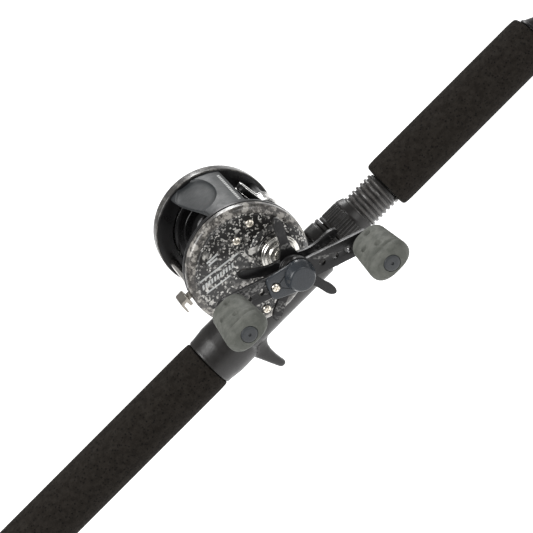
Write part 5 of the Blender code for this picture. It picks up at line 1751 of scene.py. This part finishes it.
# %% Cast control and clicker
def make_cast_control():
    low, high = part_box("cast_control_knob")
    face, top, radius = 27.4, high.y / MM, (high.x - low.x) / 2 / MM
    corners = [(low.y / MM, 0), (low.y / MM, 3.3), (face, 3.3), (face, radius - 0.6, 0.3),
               (face + 0.6, radius - 0.25, 0.3),
               (top - 1.3, radius - 0.4, 0.4), (top - 0.6, radius - 1.3, 0.4),
               (top, radius - 2.2, 0.4),
               (top - 0.3, radius - 3.4, 0.3), (top - 0.3, 0)]
    body = turned("control_body", corners, "Y", REEL, 96)
    bars = copies_round("control_knurl", rib("bar", 3.4, 0.62, 0.32, 0.0), 44, radius - 0.32,
                        LOOKS["black_metal"])
    bars.data.transform(Matrix.Rotation(math.pi / 2, 4, "Z"))
    bars.data.transform(Matrix.Translation((REEL[0] * MM, (face + 2.6) * MM, REEL[1] * MM)))
    return settle(merge("knurled_cast_control", [body, bars]), "cast_control", LOOKS["black_metal"],
                  ["cast_control_knob"])


def make_clicker():
    low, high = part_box("clicker_button")
    face, top = 27.3, high.y / MM
    corners = [(low.y / MM, 0), (low.y / MM, 1.3), (face, 1.3), (face, 3.1, 0.3),
               (face + 0.8, 3.1, 0.5), (top, 2.1, 0.5),
               (top - 0.4, 1.2, 0.4), (top - 0.5, 0)]
    return settle(turned("clicker_slider", corners, "Y", axis_of("clicker_button"), 64), "clicker",
                  LOOKS["slate"],
                  ["clicker_button"])


make_cast_control()
make_clicker()

# %% [markdown]
# ## Pieces kept from the frame
# Gears, shafts, bearings, washers and the hex nut are hidden or nearly so, and their packed
# shapes are right. They keep their meshes and take a brass, steel or nylon finish each.

# %% Inner pieces
INNER = {
    "brass": ["main_gear", "level_wind_driver", "pinion_gear", "drag_washer"],
    "steel": ["bridge_plate", "spool_bearing_left", "spool_bearing_right", "drive_shaft",
              "crank_nut",
              "knob_spindle_a", "knob_spindle_b", "spool_shaft", "worm_cog", "pawl"],
    "seat": ["idler_gear"],
}
for look, names in INNER.items():
    for name in names:
        node = frame["nodes"][name]
        node.data.materials.clear()
        node.data.materials.append(LOOKS[look])
print("kept from the frame:", sum(len(names) for names in INNER.values()))

# %% [markdown]
# ## Stage and light
# A plain pale floor lies well below the rod, and three large soft lamps stand round it: a
# broad key above, a fill from the crank side and a rim light behind. Dark satin parts
# are read by what they reflect, so the lamps are wide and the surroundings pale.

# %% Floor and lamps
FLOOR_REACH, FLOOR_LEVEL, FLOOR_GLOW = 14.0, -0.55, 0.72


def add_floor():
    made, _, shader = blank_material("pale_floor")
    shader.inputs["Base Color"].default_value = (0.93, 0.93, 0.93, 1.0)
    shader.inputs["Roughness"].default_value = 0.9
    shader.inputs["Emission Color"].default_value = (1.0, 1.0, 1.0, 1.0)
    shader.inputs["Emission Strength"].default_value = FLOOR_GLOW
    mesh = bpy.data.meshes.new("floor")
    reach, level = FLOOR_REACH, FLOOR_LEVEL
    mesh.from_pydata([(-reach, -reach, level), (reach, -reach, level), (reach, reach, level),
                      (-reach, reach, level)],
                     [], [(0, 1, 2, 3)])
    mesh.materials.append(made)
    floor = bpy.data.objects.new("floor", mesh)
    scene.collection.objects.link(floor)


def add_lamp(name, place, target, size, power):
    data = bpy.data.lights.new(name, "AREA")
    data.shape, data.size, data.energy = "SQUARE", size, power
    lamp = bpy.data.objects.new(name, data)
    lamp.location = place
    lamp.rotation_euler = (Vector(target) - Vector(place)).to_track_quat("-Z", "Y").to_euler()
    scene.collection.objects.link(lamp)


def add_light():
    focus = (REEL[0] * MM, 0.0, REEL[1] * MM)
    add_lamp("key", (focus[0] - 0.7, -0.25, 1.2), focus, 0.8, 17.0)
    add_lamp("fill", (focus[0] + 1.0, -1.1, 0.6), focus, 0.6, 5.0)
    add_lamp("rim", (focus[0] + 0.6, 1.2, 0.8), focus, 0.6, 10.0)
    world = bpy.data.worlds.new("pale_world")
    world.use_nodes = True
    world.node_tree.nodes["Background"].inputs["Color"].default_value = (1.0, 1.0, 1.0, 1.0)
    world.node_tree.nodes["Background"].inputs["Strength"].default_value = 0.30
    scene.world = world


add_floor()
add_light()
scene.view_settings.view_transform = "Standard"
print("lamps and floor ready")
